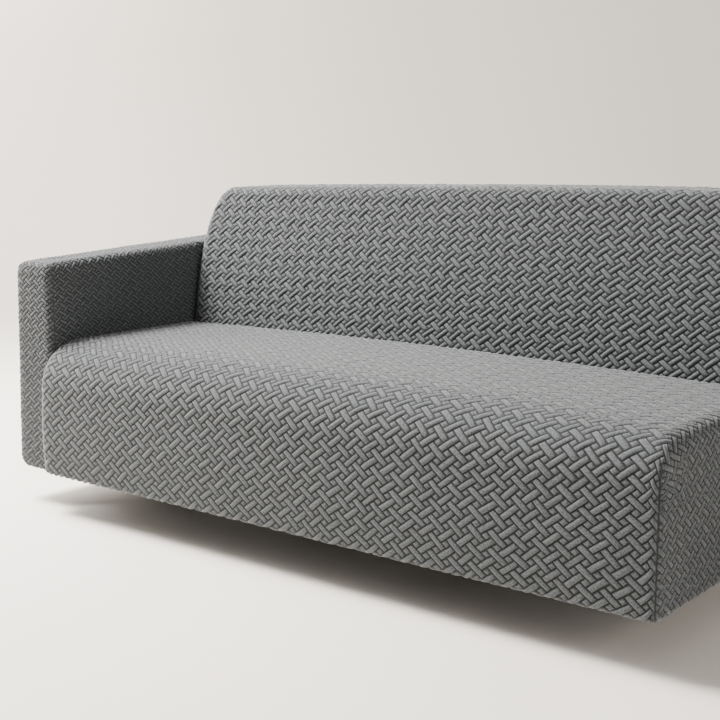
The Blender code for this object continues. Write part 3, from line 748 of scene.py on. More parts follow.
def corner_lines():
    """Lines fanning over the seat's free front corner, in halves parted by the dart seam."""
    corner_fall = SIDE_FALL + CORNER_FALL_EXTRA

    def length_to(z, reach, fall):
        """Running length of cloth over a padded edge down to a height."""
        heights = [SIDE_TOP - fall * (1 - padded(angle)[1]) for angle in edge_angles()]
        run = edge_length(reach, fall)
        if z < heights[-1]:
            return run[-1] + heights[-1] - z
        return float(np.interp(-z, [-height for height in heights], run))

    def fan_line(turn, on_side, beside, forward, part):
        """One line of the fan. `beside` goes from the front line to the round corner,
        `turn` round it, and `forward` from it to the side's first line."""
        angle = QUARTER * turn
        outward, inward = (math.sin(angle), -math.cos(angle)), (-math.sin(angle), math.cos(angle))
        fall = mix(corner_fall, SIDE_FALL, forward)
        if turn < 1:
            fall = mix(front_fall(SEAT_SIDE), corner_fall, turn)
        places = []
        for edge in edge_angles():
            out, up = padded(edge)
            radius = corner_radius(out)
            x = SEAT_SIDE + (SIDE_REACH * out - radius) * beside + outward[0] * radius
            y = CORNER_DEPTH * (1 - out) + radius + outward[1] * radius
            places.append((x, mix(y, CORNER_DEPTH, forward), SIDE_TOP - fall * (1 - up)))
        foot = places[-1][:2]
        places += drop(foot, inward, SIDE_TOP - fall)
        run = lengths(places)
        aside = (math.cos(angle) * HALF_GAP * part, math.sin(angle) * HALF_GAP * part)
        line = []
        for index, ((x, y, z), length) in enumerate(zip(places, run)):
            out = padded(edge_angles()[min(index, EDGE_STEPS)])[0]
            radius = corner_radius(out)
            far = math.hypot(x - SEAT_SIDE, CORNER_DEPTH - y) or 1.0
            fanned = (SEAT_SIDE + length * (x - SEAT_SIDE) / far,
                      CORNER_DEPTH - length * (CORNER_DEPTH - y) / far)
            if on_side:
                round_end = CORNER_DEPTH * (1 - out) + radius
                depth = y if forward else round_end - radius * QUARTER * (1 - turn)
                straight = (SEAT_SIDE + length_to(z, SIDE_REACH, SIDE_FALL), depth)
            else:
                across = (SIDE_REACH * out - radius) * beside + radius * QUARTER * turn
                down = length_to(z, CORNER_DEPTH, front_fall(SEAT_SIDE))
                straight = (SEAT_SIDE + across, CORNER_DEPTH - down)
            share = eased((DART_TOP - z) / COURSE_BLEND)
            apart = 1 if z < DART_TOP else 0
            line.append((*moved((x, y), aside, apart), z, *mixed(fanned, straight, share)))
        turned = HEM_TURN_AT_CORNER
        if forward:
            turned = hem_turn(foot[1])
        elif turn == 0:
            turned = hem_turn(LENGTH - CORNER_ROUND - foot[0])
        foot = line[-1][:2]
        return with_hem(line, foot, inward, turned, (1, 0) if on_side else (0, -1))

    front_half = [fan_line(0, False, share, 0, 0) for share in steps(5)]
    front_half += [fan_line(0.5 * share, False, 1, 0, 0) for share in steps(6)[1:-1]]
    front_half.append(fan_line(0.5, False, 1, 0, -1))
    side_half = [fan_line(0.5, True, 1, 0, 1)]
    side_half += [fan_line(0.5 + 0.5 * share, True, 1, 0, 0) for share in steps(6)[1:]]
    side_half += [fan_line(1, True, 1, share, 0) for share in steps(8)[1:-1]]
    return front_half, side_half


def side_lines():
    """Side drop below the seat's top, one line for each row of the top."""
    down = edge_length(SIDE_REACH, SIDE_FALL)
    side = []
    front_row = len(seat_rows(SEAT_SIDE)) - 1
    for row in range(front_row, -1, -1):
        line = []
        for index, edge in enumerate(edge_angles()):
            out, up = padded(edge)
            x = SEAT_SIDE + SIDE_REACH * out
            y = mix(seat_rows(SEAT_SIDE)[row], seat_rows(x)[row], out if row else 1)
            if row == front_row:
                y = CORNER_DEPTH
            dip = crease_dip(y, seat_rear(x)) * (1 - out)
            line.append((x, y, SIDE_TOP - SIDE_FALL * (1 - up) - dip, SEAT_SIDE + down[index], y))
        side.append(side_drop(line))
    return side


def side_drop(line):
    """Straight drop and hem of the side below the last point of a line."""
    x, y, z, across, up = line[-1]
    for place in drop((x, y), (-1, 0), z):
        line.append((*place, across + z - place[2], up))
    turn = hem_turn(min(y, DEPTH - REAR_EDGE - y))
    return with_hem(line, (x, y), (-1, 0), turn, (1, 0))


def flap_lines(last):
    """Side drop running on to the rear, under the end of the back."""
    flap = [last[EDGE_STEPS:]]
    x, start, z, across, _ = flap[0][0]
    end = DEPTH - REAR_EDGE - PAST_EDGE
    for share in steps(8)[1:]:
        y = mix(start, end, share)
        flap.append(side_drop([(x, y, z, across, y)]))
    return flap


# ---------------------------------------------------------------- back

def outline_corner(angle, side, inwards, reach, fall):
    """Point and outward direction on a soft top corner of the back's outline."""
    out, up = padded(angle)
    x = side + inwards * reach * (1 - out)
    z = back_height(side + inwards * reach) - fall * (1 - up)
    power = 2 - 2 / PADDING
    across = max(math.cos(angle), 0.0) ** power / reach
    upward = max(math.sin(angle), 0.0) ** power / fall
    size = math.hypot(across, upward)
    return (x, z), (-inwards * across / size, upward / size)


def left_corner(angle):
    return outline_corner(angle, BACK_LEFT, 1, LEFT_CORNER_REACH, LEFT_CORNER_FALL)


def right_corner(angle):
    return outline_corner(angle, LENGTH, -1, RIGHT_CORNER_REACH, RIGHT_CORNER_FALL)


def at_height(z):
    """Outline point of the left corner that lies at a height."""
    top = back_height(BACK_LEFT + LEFT_CORNER_REACH)
    up = 1 - (top - z) / LEFT_CORNER_FALL
    return left_corner(math.asin(held(up) ** (PADDING / 2)))


UPRIGHT_STEPS = 14
LEFT_FOOT = back_height(BACK_LEFT + LEFT_CORNER_REACH) - LEFT_CORNER_FALL
RIGHT_FOOT = back_height(LENGTH - RIGHT_CORNER_REACH) - RIGHT_CORNER_FALL


def back_outline(left_low, right_low):
    """Outline points with outward directions, as the back's left, top and right borders."""
    corner, half = 14, QUARTER / 2

    def border(x, low, foot, outward, soft_corner):
        """Upright edge and the lower half of its soft corner."""
        line = [((x, mix(low, foot, share)), outward) for share in steps(UPRIGHT_STEPS)[:-1]]
        return line + [soft_corner(half * share) for share in steps(corner)]

    left = border(BACK_LEFT, left_low, LEFT_FOOT, (-1, 0), left_corner)
    right = border(LENGTH, right_low, RIGHT_FOOT, (1, 0), right_corner)
    top = [left_corner(half + half * share) for share in steps(corner)]
    start, end = BACK_LEFT + LEFT_CORNER_REACH, LENGTH - RIGHT_CORNER_REACH
    for share in steps(50)[1:-1]:
        x = mix(start, end, share)
        top.append(((x, back_height(x)), (0, 1)))
    top += [right_corner(2 * half - half * share) for share in steps(corner)]
    return left, top, right


def inset(border, width):
    """Draw a border inwards by a width at each of its points."""
    return [moved(point, outward, -width(point)) for point, outward in border]


def last_upright(border):
    """Number of the last point of a right border that faces straight to the side."""
    return [index for index, (_, outward) in enumerate(border) if outward[0] == 1][-1]


def back_bottom(x):
    """Lower edge of the inside back, tucked a little below the seat's surface."""
    rise = 1.0 if x < SEAT_SIDE else padded_rise((x - SEAT_SIDE) / SIDE_REACH)
    surface = seat_height(min(x, SEAT_SIDE)) - SIDE_FALL * (1 - rise)
    tuck = BACK_TUCK * eased((LENGTH - x) / (2 * SIDE_REACH))
    return surface - tuck + HALF_GAP


def rear_edge_width(point):
    """Radius of the back's rear edge, drawn in where it meets the arm."""
    x, z = point
    if x > LENGTH / 2:
        return REAR_EDGE
    return mix(REAR_EDGE_AT_ARM, REAR_EDGE, eased((z - arm_height(DEPTH)) / REAR_EDGE_TAPER))


def level_with(border, top_line, low):
    """A bottom line with a point below each point of the top line."""
    start, end = border
    span = top_line[-1][0] - top_line[0][0]
    across = [mix(start, end, (x - top_line[0][0]) / span) for x, _ in top_line]
    return [(x, low(x)) for x in across]


def upright_levels(foot):
    """Heights of the rows beside an upright edge, each as a function of the place across."""
    return [lambda x, share=share: mix(back_bottom(x), foot, share)
            for share in steps(UPRIGHT_STEPS)[:-1]]


def inside_back_cut():
    left, top, right = back_outline(back_bottom(BACK_LEFT), back_bottom(LENGTH))
    arm_top = arm_height(arm_inner_rear(arm_height(SEAT_DEPTH))) + CREASE_GAP

    def edge(_):
        return BACK_EDGE

    above_arm = [index for index, (point, _) in enumerate(left) if point[1] > arm_top][0]
    left[above_arm] = at_height(arm_top)
    left_line, top_line, right_line = inset(left, edge), inset(top, edge), inset(right, edge)
    left_levels, right_levels = upright_levels(LEFT_FOOT), upright_levels(RIGHT_FOOT)
    for index in range(UPRIGHT_STEPS):
        for line, levels in ((left_line, left_levels), (right_line, right_levels)):
            line[index] = (line[index][0], levels[index](line[index][0]))
    bottom_line = level_with((left_line[0][0], right_line[0][0]), top_line, back_bottom)
    rows = coons(left_line, right_line, bottom_line, top_line)
    face = [[(x, back_face(x, z) + HALF_GAP, z, x, z) for x, z in row] for row in rows]

    # Running length along the outline gives the cloth's course over the top and its corners
    around = [point for point, _ in left] + [point for point, _ in top[1:]]
    around += [point for point, _ in right[::-1][1:]]
    run = lengths(around)
    middle = len(left) - 1 + len(top) // 2
    unrolled = [around[middle][0] + length - run[middle] for length in run]

    def rib(number, border, foot, level, wall):
        """Cloth from the face over the padded edge and, with a wall, on to the rear."""
        (x, z), outward = border
        start = back_face(*foot) + HALF_GAP
        line = [(foot[0], start, foot[1], 0.0, BACK_EDGE)]
        for angle, behind, inwards in round_edge(BACK_EDGE, 10)[1:]:
            across, height = moved((x, z), outward, -inwards)
            if level:
                height = level(across)
            line.append((across, start + behind, height,
                         BACK_EDGE * angle - BACK_EDGE + inwards, inwards))
        start += BACK_EDGE + SEAM_TAIL
        beyond = BACK_EDGE * (QUARTER - 1) + SEAM_TAIL
        line.append((x, start, line[-1][2], beyond, 0.0))
        rear = rear_edge_width((x, z))
        if wall:
            for share in steps(10)[1:]:
                y = mix(start, DEPTH - rear, share)
                height = max(z, arm_height(y) + CREASE_GAP) if x < LENGTH / 2 else z
                line.append((x, y, height, beyond + y - start, 0.0))
            beyond += DEPTH - rear - start
            rolled = [(rear * angle, come, ahead)
                      for angle, come, ahead in round_edge(rear, 6)[1:]]
            rolled.append((rear * QUARTER + SEAM_TAIL, rear + SEAM_TAIL, 0.0))
            for run_on, inwards, ahead in rolled:
                across, up = moved((x, height), outward, -inwards)
                line.append((across, DEPTH - ahead, up, beyond + inwards + run_on, inwards))
        crown = back_height(min(max(x, BACK_LEFT + LEFT_CORNER_REACH),
                                LENGTH - RIGHT_CORNER_REACH))
        made = []
        for a, y, b, extra, inwards in line:
            fanned = moved((a, b), outward, extra)
            share = eased((extra - BACK_EDGE * (QUARTER - 1)) / COURSE_BLEND)
            over = (unrolled[number], crown + extra - inwards)
            made.append((a, y, b, *mixed(fanned, over, share)))
        return made

    def ribs(borders, numbers, feet, levels, first_wall):
        """Ribs along one border. From the first wall on, they run on to the rear."""
        levels = levels + [None] * (len(borders) - len(levels))
        return [rib(number, border, foot, level, index >= first_wall)
                for index, (border, number, foot, level)
                in enumerate(zip(borders, numbers, feet, levels))]

    count = len(around)
    left_ribs = ribs(left, range(count), [row[0] for row in rows], left_levels, above_arm)
    top_ribs = ribs(top, range(len(left) - 1, count), rows[-1], [], 0)
    right_ribs = ribs(right, range(count - 1, -1, -1), [row[-1] for row in rows], right_levels,
                      last_upright(right))
    return Cut([face, left_ribs, top_ribs, right_ribs])


def back_end_cut():
    """Flat end of the back above the side drop, closed at its top by the inside back."""
    low = SIDE_TOP - SIDE_FALL + SEAM_GAP
    high = RIGHT_FOOT - SEAM_GAP
    lines = []
    for share in steps(16):
        z = mix(low, high, share)
        front = back_face(LENGTH, z) + HALF_GAP + BACK_EDGE + PAST_EDGE
        rear = DEPTH - REAR_EDGE - PAST_EDGE
        lines.append([(LENGTH, y, z, y, z)
                      for y in (mix(front, rear, across) for across in steps(4))])
    return Cut([lines])


def outside_back_cut():
    """Rear of the back with its hem and the round edge on to the free end."""
    left, top, right = back_outline(DROP_END, DROP_END)
    arm_top = arm_height(DEPTH) + SEAM_GAP

    def edge(point):
        return rear_edge_width(point) + PAST_EDGE

    above = [border for border in left if border[0][1] > arm_top]
    above.insert(0, at_height(arm_top))
    below = len(left) - len(above)
    left_line = [(BACK_LEFT, mix(DROP_END, arm_top - ARM_REAR_STEP, index / (below - 1)))
                 for index in range(below)]
    left_line += inset(above, edge)
    top_line, right_line = inset(top, edge), inset(right, edge)
    upright = last_upright(right)
    right_line[upright] = (right_line[upright][0], right_line[upright][1] - PAST_EDGE)
    bottom_line = level_with((left_line[0][0], right_line[0][0]), top_line, lambda x: DROP_END)
    rows = coons(left_line, right_line, bottom_line, top_line, lateness=5)
    face = [[(x, DEPTH, z, x, z) for x, z in row] for row in rows]
    end = bottom_line[-1][0]
    hems = [with_hem([(x, DEPTH, z, x, z)], (x, DEPTH), (0, -1), hem_turn(end - x), (0, -1))
            for x, z in bottom_line]

    # Round vertical edge on to the side, up to where the inside back comes over
    heights = [z for _, z in right_line[:upright + 1]][::-1]
    columns = []
    for angle, come, ahead in round_edge(REAR_EDGE, 8):
        x, y = LENGTH - ahead if angle else end, DEPTH - come
        inward = (-math.sin(angle), -math.cos(angle))
        across = end + PAST_EDGE * bool(angle) + REAR_EDGE * angle
        column = [(x, y, z, across, z) for z in heights]
        columns.append(with_hem(column, (x, y), inward, HEM_TURN_AT_CORNER, (0, -1)))
    columns.append([(x, y - SEAM_TAIL, z, p + SEAM_TAIL, q) for x, y, z, p, q in columns[-1]])
    return Cut([face, hems, columns])


# ---------------------------------------------------------------- arm

def arm_inner_rear(z):
    """Where the arm's inner side ends, at the back's round left edge."""
    return back_face(ARM_WIDTH, z) + BACK_EDGE


def arm_inner_round(y):
    """Radius of the arm's inner top edge, drawn tight where it runs on to the back."""
    to_back = arm_inner_rear(arm_height(SEAT_DEPTH)) - y
    return mix(ARM_ROUND_AT_BACK, ARM_INNER_ROUND, eased(to_back / ARM_ROUND_FADE))


def arm_inner_face(y, z):
    """Where the arm's inner side stands, brought up to the back's outline at its rear end."""
    at_back = at_height(z)[0][0] - CREASE_GAP
    return mix(at_back, ARM_FACE, eased((arm_inner_rear(z) - y) / ARM_ROUND_FADE))


def arm_section(height, inner, inner_face):
    """Section of the arm's cloth from its hem to the inner top edge.

    Each entry is a point across and up, with the radii of the front and the rear edge there.
    """
    outer = ARM_OUTER_ROUND
    line = []
    corner = list(zip(steps(8), round_edge(outer, 8)))
    for share, (_, come, ahead) in corner:
        line.append(((ahead, HEM_HEIGHT + come), mix(HEM_ROUND, ARM_EDGE_OUTER, share),
                     mix(HEM_ROUND, REAR_EDGE, share)))
    for share in steps(10)[1:-1]:
        z = mix(HEM_HEIGHT + outer, height - outer, share)
        line.append(((0.0, z), ARM_EDGE_OUTER, REAR_EDGE))
    for share, (_, come, ahead) in corner:
        line.append(((come, height - ahead), mix(ARM_EDGE_OUTER, ARM_EDGE_TOP, share), REAR_EDGE))
    for share in steps(5)[1:]:
        point = (mix(outer, inner_face - inner, share), height)
        line.append((point, ARM_EDGE_TOP, mix(REAR_EDGE, REAR_EDGE_AT_ARM, share)))
    return line


def arm_inner(top_end, share):
    """Round inner top edge and inner side, down to the seat's rolled edge."""
    start = ARM_SETBACK + ARM_EDGE_INNER + PAST_EDGE
    inner = arm_inner_round(top_end[1])
    line = [top_end[:3]]
    for step, (_, come, ahead) in list(zip(steps(8), round_edge(inner, 8)))[1:]:
        y = mix(top_end[1], mix(start, arm_inner_rear(top_end[2]), share), step)
        line.append((arm_inner_face(y, arm_height(y)) - ahead, y, arm_height(y) - come))
    foot = seat_edge_at_arm(mix(start, SEAT_DEPTH, share)) - CREASE_WALL
    round_end = line[-1][2]
    for step in steps(14)[1:]:
        z = mix(round_end, foot, step)
        y = mix(start, arm_inner_rear(z), share)
        line.append((arm_inner_face(y, z), y, z))
    return on_section(line, top_end[4])


def on_section(line, start):
    """Flat points of a line round the arm: depth across the cloth, running length up it."""
    run = lengths([(x, z) for x, _, z in line])
    return [(x, y, z, y, start + length) for (x, y, z), length in zip(line, run)]


# Shares of the way on under the back, close together where the arm's cloth goes in, and the
# share over which it comes out to the back's rear edge
UNDER_BACK = (0.02, 0.04, 0.07, 0.1, 0.2, 0.4, 0.6, 0.8, 1)
UNDER_BACK_FADE = 0.1


def arm_wrap_cut():
    """Outer side, top and inner side of the arm in one cloth."""
    back_stop = arm_inner_rear(arm_height(SEAT_DEPTH))
    stations = [(share, 0) for share in steps(36)]
    stations += [(1, beyond) for beyond in UNDER_BACK]
    outer_lines, inner_lines, under_back = [], [], []
    for share, beyond in stations:
        level = mix(ARM_SETBACK + ARM_EDGE_TOP, back_stop, share)
        inner = arm_inner_round(level)
        face = arm_inner_face(level, arm_height(level))
        line = []
        for index, (_, front, rear) in enumerate(arm_section(ARM_HEIGHT, inner, face)):
            start = ARM_SETBACK + front + PAST_EDGE
            y = mix(mix(start, back_stop, share), DEPTH - rear - PAST_EDGE, beyond)
            x, z = arm_section(arm_height(y), inner, face)[index][0]
            line.append((x, y, z))
        foot = line[0]
        to_end = min(foot[1] - ARM_SETBACK - HEM_ROUND, DEPTH - HEM_ROUND - foot[1])
        turn = hem_turn(to_end)
        line = on_section([(foot[0] + turn, foot[1], HEM_HEIGHT)] + line, HEM_HEIGHT - turn)
        outer_lines.append(line)
        if beyond == 0:
            inner_lines.append(arm_inner(line[-1], share))
        if share == 1:
            x, y, z, across, up = line[-1]
            reach = face + REAR_EDGE_AT_ARM * eased(beyond / UNDER_BACK_FADE)
            under_back.append([line[-1], (reach, y, z, across, up + reach - x)])
    return Cut([outer_lines, inner_lines, under_back])


def plate_corner(centre, radius, start, first, last, shares):
    """Round corner of an arm end: outline points, outward directions and edge radii."""
    points = []
    for share in shares:
        angle = start + QUARTER * share
        outward = (math.cos(angle), math.sin(angle))
        points.append((moved(centre, outward, radius), outward, mix(first, last, share)))
    return points


def plate_side(start, end, outward, first, last, shares):
    """Straight part of an arm end's outline, with its edge radius."""
    return [(mixed(start, end, share), outward, mix(first, last, share)) for share in shares]


def arm_end_cut(face, into, height, edges, inner_round):
    """Flat end of the arm, its outline rolled over on to the sides and the hem turned.

    `edges` holds the roll's radius on the outer side, the top's outer and inner end and the
    inner side. With no inner round the inner side is left as a straight cut edge.
    """
    outer_edge, top_edge, top_inner_edge, inner_edge = edges
    outer, low, high = ARM_OUTER_ROUND, HEM_HEIGHT, height
    inner_x = ARM_FACE - inner_round
    near = [share / 2 for share in steps(6)]
    far = [0.5 + share for share in near]
    across = steps(8)[1:-1] if inner_round else steps(12)[1:]
    upright = steps(14)[1:-1]

    def low_outer(shares):
        return plate_corner((outer, low + outer), outer, math.pi, outer_edge, HEM_ROUND, shares)

    def high_outer(shares):
        return plate_corner((outer, high - outer), outer, QUARTER, top_edge, outer_edge, shares)

    def low_inner(shares):
        return plate_corner((inner_x, low + inner_round), inner_round, -QUARTER,
                            HEM_ROUND, inner_edge, shares)

    def high_inner(shares):
        return plate_corner((inner_x, high - inner_round), inner_round, 0,
                            inner_edge, top_inner_edge, shares)

    left = low_outer(near[::-1])
    left += plate_side((0, low + outer), (0, high - outer), (-1, 0),
                       outer_edge, outer_edge, upright)
    left += high_outer(far[::-1])
    bottom = low_outer(far)
    bottom += plate_side((outer, low), (inner_x, low), (0, -1), HEM_ROUND, HEM_ROUND, across)
    top = high_outer(near[::-1])
    top += plate_side((outer, high), (inner_x, high), (0, 1), top_edge, top_inner_edge, across)
    if inner_round:
        bottom += low_inner(near)
        top += high_inner(far[::-1])
        right = low_inner(far)
        right += plate_side((ARM_FACE, low + inner_round), (ARM_FACE, high - inner_round),
                            (1, 0), inner_edge, inner_edge, upright)
        right += high_inner(near)
    else:
        right = plate_side((inner_x, low + HEM_ROUND), (inner_x, high - top_inner_edge), (1, 0),
                           0, 0, steps(len(left) - 1))

    def flat(border):
        return [moved(point, outward, -radius) for point, outward, radius in border]

    def rib(entry):
        """Cloth from the flat end over its round edge, at one point of the outline."""
        point, outward, radius = entry
        line = []
        for angle, come, back in round_edge(radius, 8):
            x, z = moved(point, outward, -back)
            extra = radius * angle - radius + back
            line.append((x, face + into * come, z, *moved(point, outward, extra - back)))
        past = radius * (QUARTER - 1) + SEAM_TAIL
        line.append((point[0], face + into * (radius + SEAM_TAIL), point[1],
                     *moved(point, outward, past)))
        return line

    rows = coons(flat(left), flat(right), flat(bottom), flat(top))
    strips = [[[(x, face, z, x, z) for x, z in row] for row in rows]]
    strips += [[rib(entry) for entry in border] for border in (left, top)]
    if inner_round:
        strips.append([rib(entry) for entry in right])
    hems = []
    for entry in bottom:
        line = rib(entry)
        x, y, z, across, up = line[-1]
        to_end = min(x - outer - ARM_HEM_CLEAR, inner_x - x)
        turn = HEM_TURN * eased(to_end / HEM_TAPER)
        line[-1] = (x, y + into * turn, z, across, up - turn)
        hems.append(line)
    strips.append(hems)
    return Cut(strips)


def arm_front_cut():
    edges = (ARM_EDGE_OUTER, ARM_EDGE_TOP, ARM_EDGE_TOP, ARM_EDGE_INNER)
    height = arm_height(ARM_SETBACK + ARM_EDGE_TOP)
    return arm_end_cut(ARM_SETBACK, 1, height, edges, ARM_INNER_ROUND)


def arm_rear_cut():
    edges = (REAR_EDGE, REAR_EDGE, REAR_EDGE_AT_ARM, 0)
    height = arm_height(DEPTH - REAR_EDGE)
    return arm_end_cut(DEPTH, -1, height, edges, 0)


# ---------------------------------------------------------------- sewing

def placed(name, data):
    """Object that shows this mesh, lamp or camera in the scene."""
    made = bpy.data.objects.new(name, data)
    bpy.context.scene.collection.objects.link(made)
    return made


# A point well inside the sofa, from which every panel as a whole faces away
INSIDE = np.array((LENGTH / 2, DEPTH * 0.6, HEM_HEIGHT + 0.1))

# At a seam the relief fades out and the cloth is drawn in, and the padding is even beside it
EDGE_FADE = 0.007
EDGE_DROP = 0.0006
CALM_EDGE = 0.040

# How far the padding stands in or out, in waves of about 1 m and of about 0.3 m
UNEVEN, SHORT_UNEVEN = 0.0008, 0.0004

# Place on the ramp of painted groove shade, from groove to tile top, of cloth with no relief
# left, and of the lining
FLAT_SHADE = 0.42
LINING_SHADE = 0.5


def unevenness(place):
    """The padding under the cloth isn't quite even: it stands in or out by about a millimetre."""
    x, y, z = place.T
    wide = np.sin(5.1 * x + 3.7 * z + 0.6) * np.sin(6.3 * y + 4.9 * z + 1.1)
    small = np.sin(17 * x + 9 * y - 6 * z) * np.sin(13 * z + 11 * y + 2.2)
    return UNEVEN * wide + SHORT_UNEVEN * small


def flat_sheet(cut, weave):
    """Relief and lining trimmed to a cut and closed round their rim: points, faces, and which
    points are on the relief."""
    tiles = weave.tiles(cut.outline)
    points, faces = cut.edge.trim(*weave.relief(tiles))
    lining, lining_faces = cut.edge.trim(*weave.lining(tiles))
    count = len(points)
    lining_faces = [tuple(number + count for number in face) for face in lining_faces]
    points = np.vstack((points, lining))
    closing = rim(points[:, :2], boundary(faces), boundary(lining_faces))
    faces = faces + [face[::-1] for face in lining_faces] + closing

    # Points that the trimming left over go
    used = np.unique(np.fromiter((number for face in faces for number in face), int))
    renumber = np.zeros(len(points), int)
    renumber[used] = np.arange(len(used))
    renumber = renumber.tolist()
    faces = [tuple(renumber[number] for number in face) for face in faces]
    return points[used], faces, used < count


def sew(name, cut, weave, relief_height, calm=None):
    """Make the patterned cloth of a cut and wrap it over the cut's place on the sofa."""
    points, faces, on_outer = flat_sheet(cut, weave)
    flat, height = points[:, :2], points[:, 2]
    place, outward = cut.wrapped(flat)
    if ((place - INSIDE) * outward).sum() < 0:
        outward = -outward
        faces = [face[::-1] for face in faces]
    _, to_edge = cut.edge.nearest(flat)
    near = eased_all(to_edge / EDGE_FADE)
    strength = near if calm is None else near * calm(place)
    low = relief_height / 2
    lift = (height * relief_height - low) * strength - EDGE_DROP * (1 - near)
    lift = np.where(on_outer, lift, -SHEET)
    lift += unevenness(place) * eased_all(to_edge / CALM_EDGE)
    place = place + outward * lift[:, None] - MOUNT

    mesh = bpy.data.meshes.new(name)
    mesh.from_pydata(place.tolist(), [], faces)
    mesh.update()
    cloth = mesh.uv_layers.new(name="cloth")
    corners = np.empty(len(mesh.loops), int)
    mesh.loops.foreach_get("vertex_index", corners)
    cloth.data.foreach_set("uv", flat[corners].astype(np.float32).ravel())
    # The share of the relief picks the colour on the material's ramp of painted groove and side
    # shade
    shown = np.where(on_outer, mix(FLAT_SHADE, height, strength), LINING_SHADE)
    # The distance to the edge, kept as seam, draws the painted shade line along every seam
    for attribute, values in (("relief", shown), ("seam", to_edge)):
        made = mesh.attributes.new(attribute, "FLOAT", "POINT")
        made.data.foreach_set("value", values.astype(np.float32))
    mesh.shade_smooth()
    return placed(name, mesh)


def dress(name, cut, calm=None, cell=None, tighter=EVEN):
    cloth = bpy.context.scene.slipcover_cloth
    across, up = cell or (cloth.cell_across, cloth.cell_up)
    weave = Weave(across, up, cloth.seed, tighter)
    panel = sew(name + "_cloth", cut, weave, cloth.relief, calm)
    panel.data.materials.append(jacquard(cloth))
    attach(panel, "root")
    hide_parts(name)
    return panel


# ---------------------------------------------------------------- materials

def linear(code):
    """Linear colour of an sRGB hex value."""
    shares = [int(code[start:start + 2], 16) / 255 for start in (1, 3, 5)]
    return (*[share / 12.92 if share <= 0.04045 else ((share + 0.055) / 1.055) ** 2.4
              for share in shares], 1.0)


def node(tree, kind, settings, links):
    """Add a node with its settings, and link sockets of other nodes to its inputs."""
    made = tree.nodes.new(kind)
    for name, value in settings.items():
        if name in made.inputs:
            made.inputs[name].default_value = value
        else:
            setattr(made, name, value)
    for socket, source in links.items():
        tree.links.new(source, made.inputs[socket])
    return made


def jacquard(cloth):
    """Double-knit polyester jacquard with a raised basket pattern.

    Brushed yarn gives a soft, dull surface with a faint pale bloom at grazing angles. Painted
    shade darkens the grooves between the tiles to near black and the tiles' sides to a darker
    grey, so the raised tiles stand lighter, with a fine knit on top.
    """
    name = "grey double-knit jacquard"
    if name in bpy.data.materials:
        return bpy.data.materials[name]
    material = bpy.data.materials.new(name)
    material.use_nodes = True
    tree = material.node_tree
    shader = tree.nodes["Principled BSDF"]
    shader.inputs["Roughness"].default_value = 0.9
    shader.inputs["Specular IOR Level"].default_value = 0.25
    shader.inputs["Sheen Weight"].default_value = 0.30
    shader.inputs["Sheen Roughness"].default_value = 0.40

    relief = node(tree, "ShaderNodeAttribute", {"attribute_name": "relief"}, {})
    uv = node(tree, "ShaderNodeUVMap", {"uv_map": "cloth"}, {})
    # Flecks of brushed yarn over 1.2 mm stitches, drawn three times as coarse so that they show
    stitch = node(tree, "ShaderNodeTexNoise",
                  {"Scale": 1 / 0.0035, "Detail": 2.0, "Roughness": 0.6},
                  {"Vector": uv.outputs["UV"]})
    # Melange of light and dark yarn, changing over about 12 mm
    melange = node(tree, "ShaderNodeTexNoise",
                   {"Scale": 1 / 0.012, "Detail": 3.0, "Roughness": 0.55},
                   {"Vector": uv.outputs["UV"]})
    # Painted shade: by the relief height the ramp runs from near black in the grooves through
    # darker grey on the tiles' sides to the tile colour on top
    shade = node(tree, "ShaderNodeValToRGB", {}, {"Fac": relief.outputs["Fac"]})
    ramp = shade.color_ramp
    ramp.elements[0].position, ramp.elements[0].color = 0.0, linear(cloth.groove_shade_colour)
    ramp.elements[1].position, ramp.elements[1].color = 0.6, linear(cloth.tile_colour)
    middle = ramp.elements.new(0.28)
    middle.color = linear(cloth.shoulder_shade_colour)
    yarn = node(tree, "ShaderNodeMapRange",
                {"From Min": 0.3, "From Max": 0.7, "To Min": 0.5, "To Max": 1.5},
                {"Value": stitch.outputs["Fac"]})
    patch = node(tree, "ShaderNodeMapRange",
                 {"From Min": 0.3, "From Max": 0.7, "To Min": 0.94, "To Max": 1.06},
                 {"Value": melange.outputs["Fac"]})
    # Painted shade where the seams draw in: a dark line about 2 mm wide along every edge of a
    # panel, in metres here
    seam = node(tree, "ShaderNodeAttribute", {"attribute_name": "seam"}, {})
    line = node(tree, "ShaderNodeMapRange",
                {"From Min": 0.0008, "From Max": 0.0024, "To Min": 0.4, "To Max": 1.0},
                {"Value": seam.outputs["Fac"]})
    flecked = node(tree, "ShaderNodeMath", {"operation": "MULTIPLY"},
                   {0: yarn.outputs["Result"], 1: patch.outputs["Result"]})
    drawn = node(tree, "ShaderNodeMath", {"operation": "MULTIPLY"},
                 {0: flecked.outputs["Value"], 1: line.outputs["Result"]})
    colour = node(tree, "ShaderNodeVectorMath", {"operation": "SCALE"},
                  {"Vector": shade.outputs["Color"], "Scale": drawn.outputs["Value"]})
    bump = node(tree, "ShaderNodeBump", {"Strength": 0.35, "Distance": 0.0006},
                {"Height": stitch.outputs["Fac"]})
    tree.links.new(colour.outputs["Vector"], shader.inputs["Base Color"])
    tree.links.new(bump.outputs["Normal"], shader.inputs["Normal"])
    return material


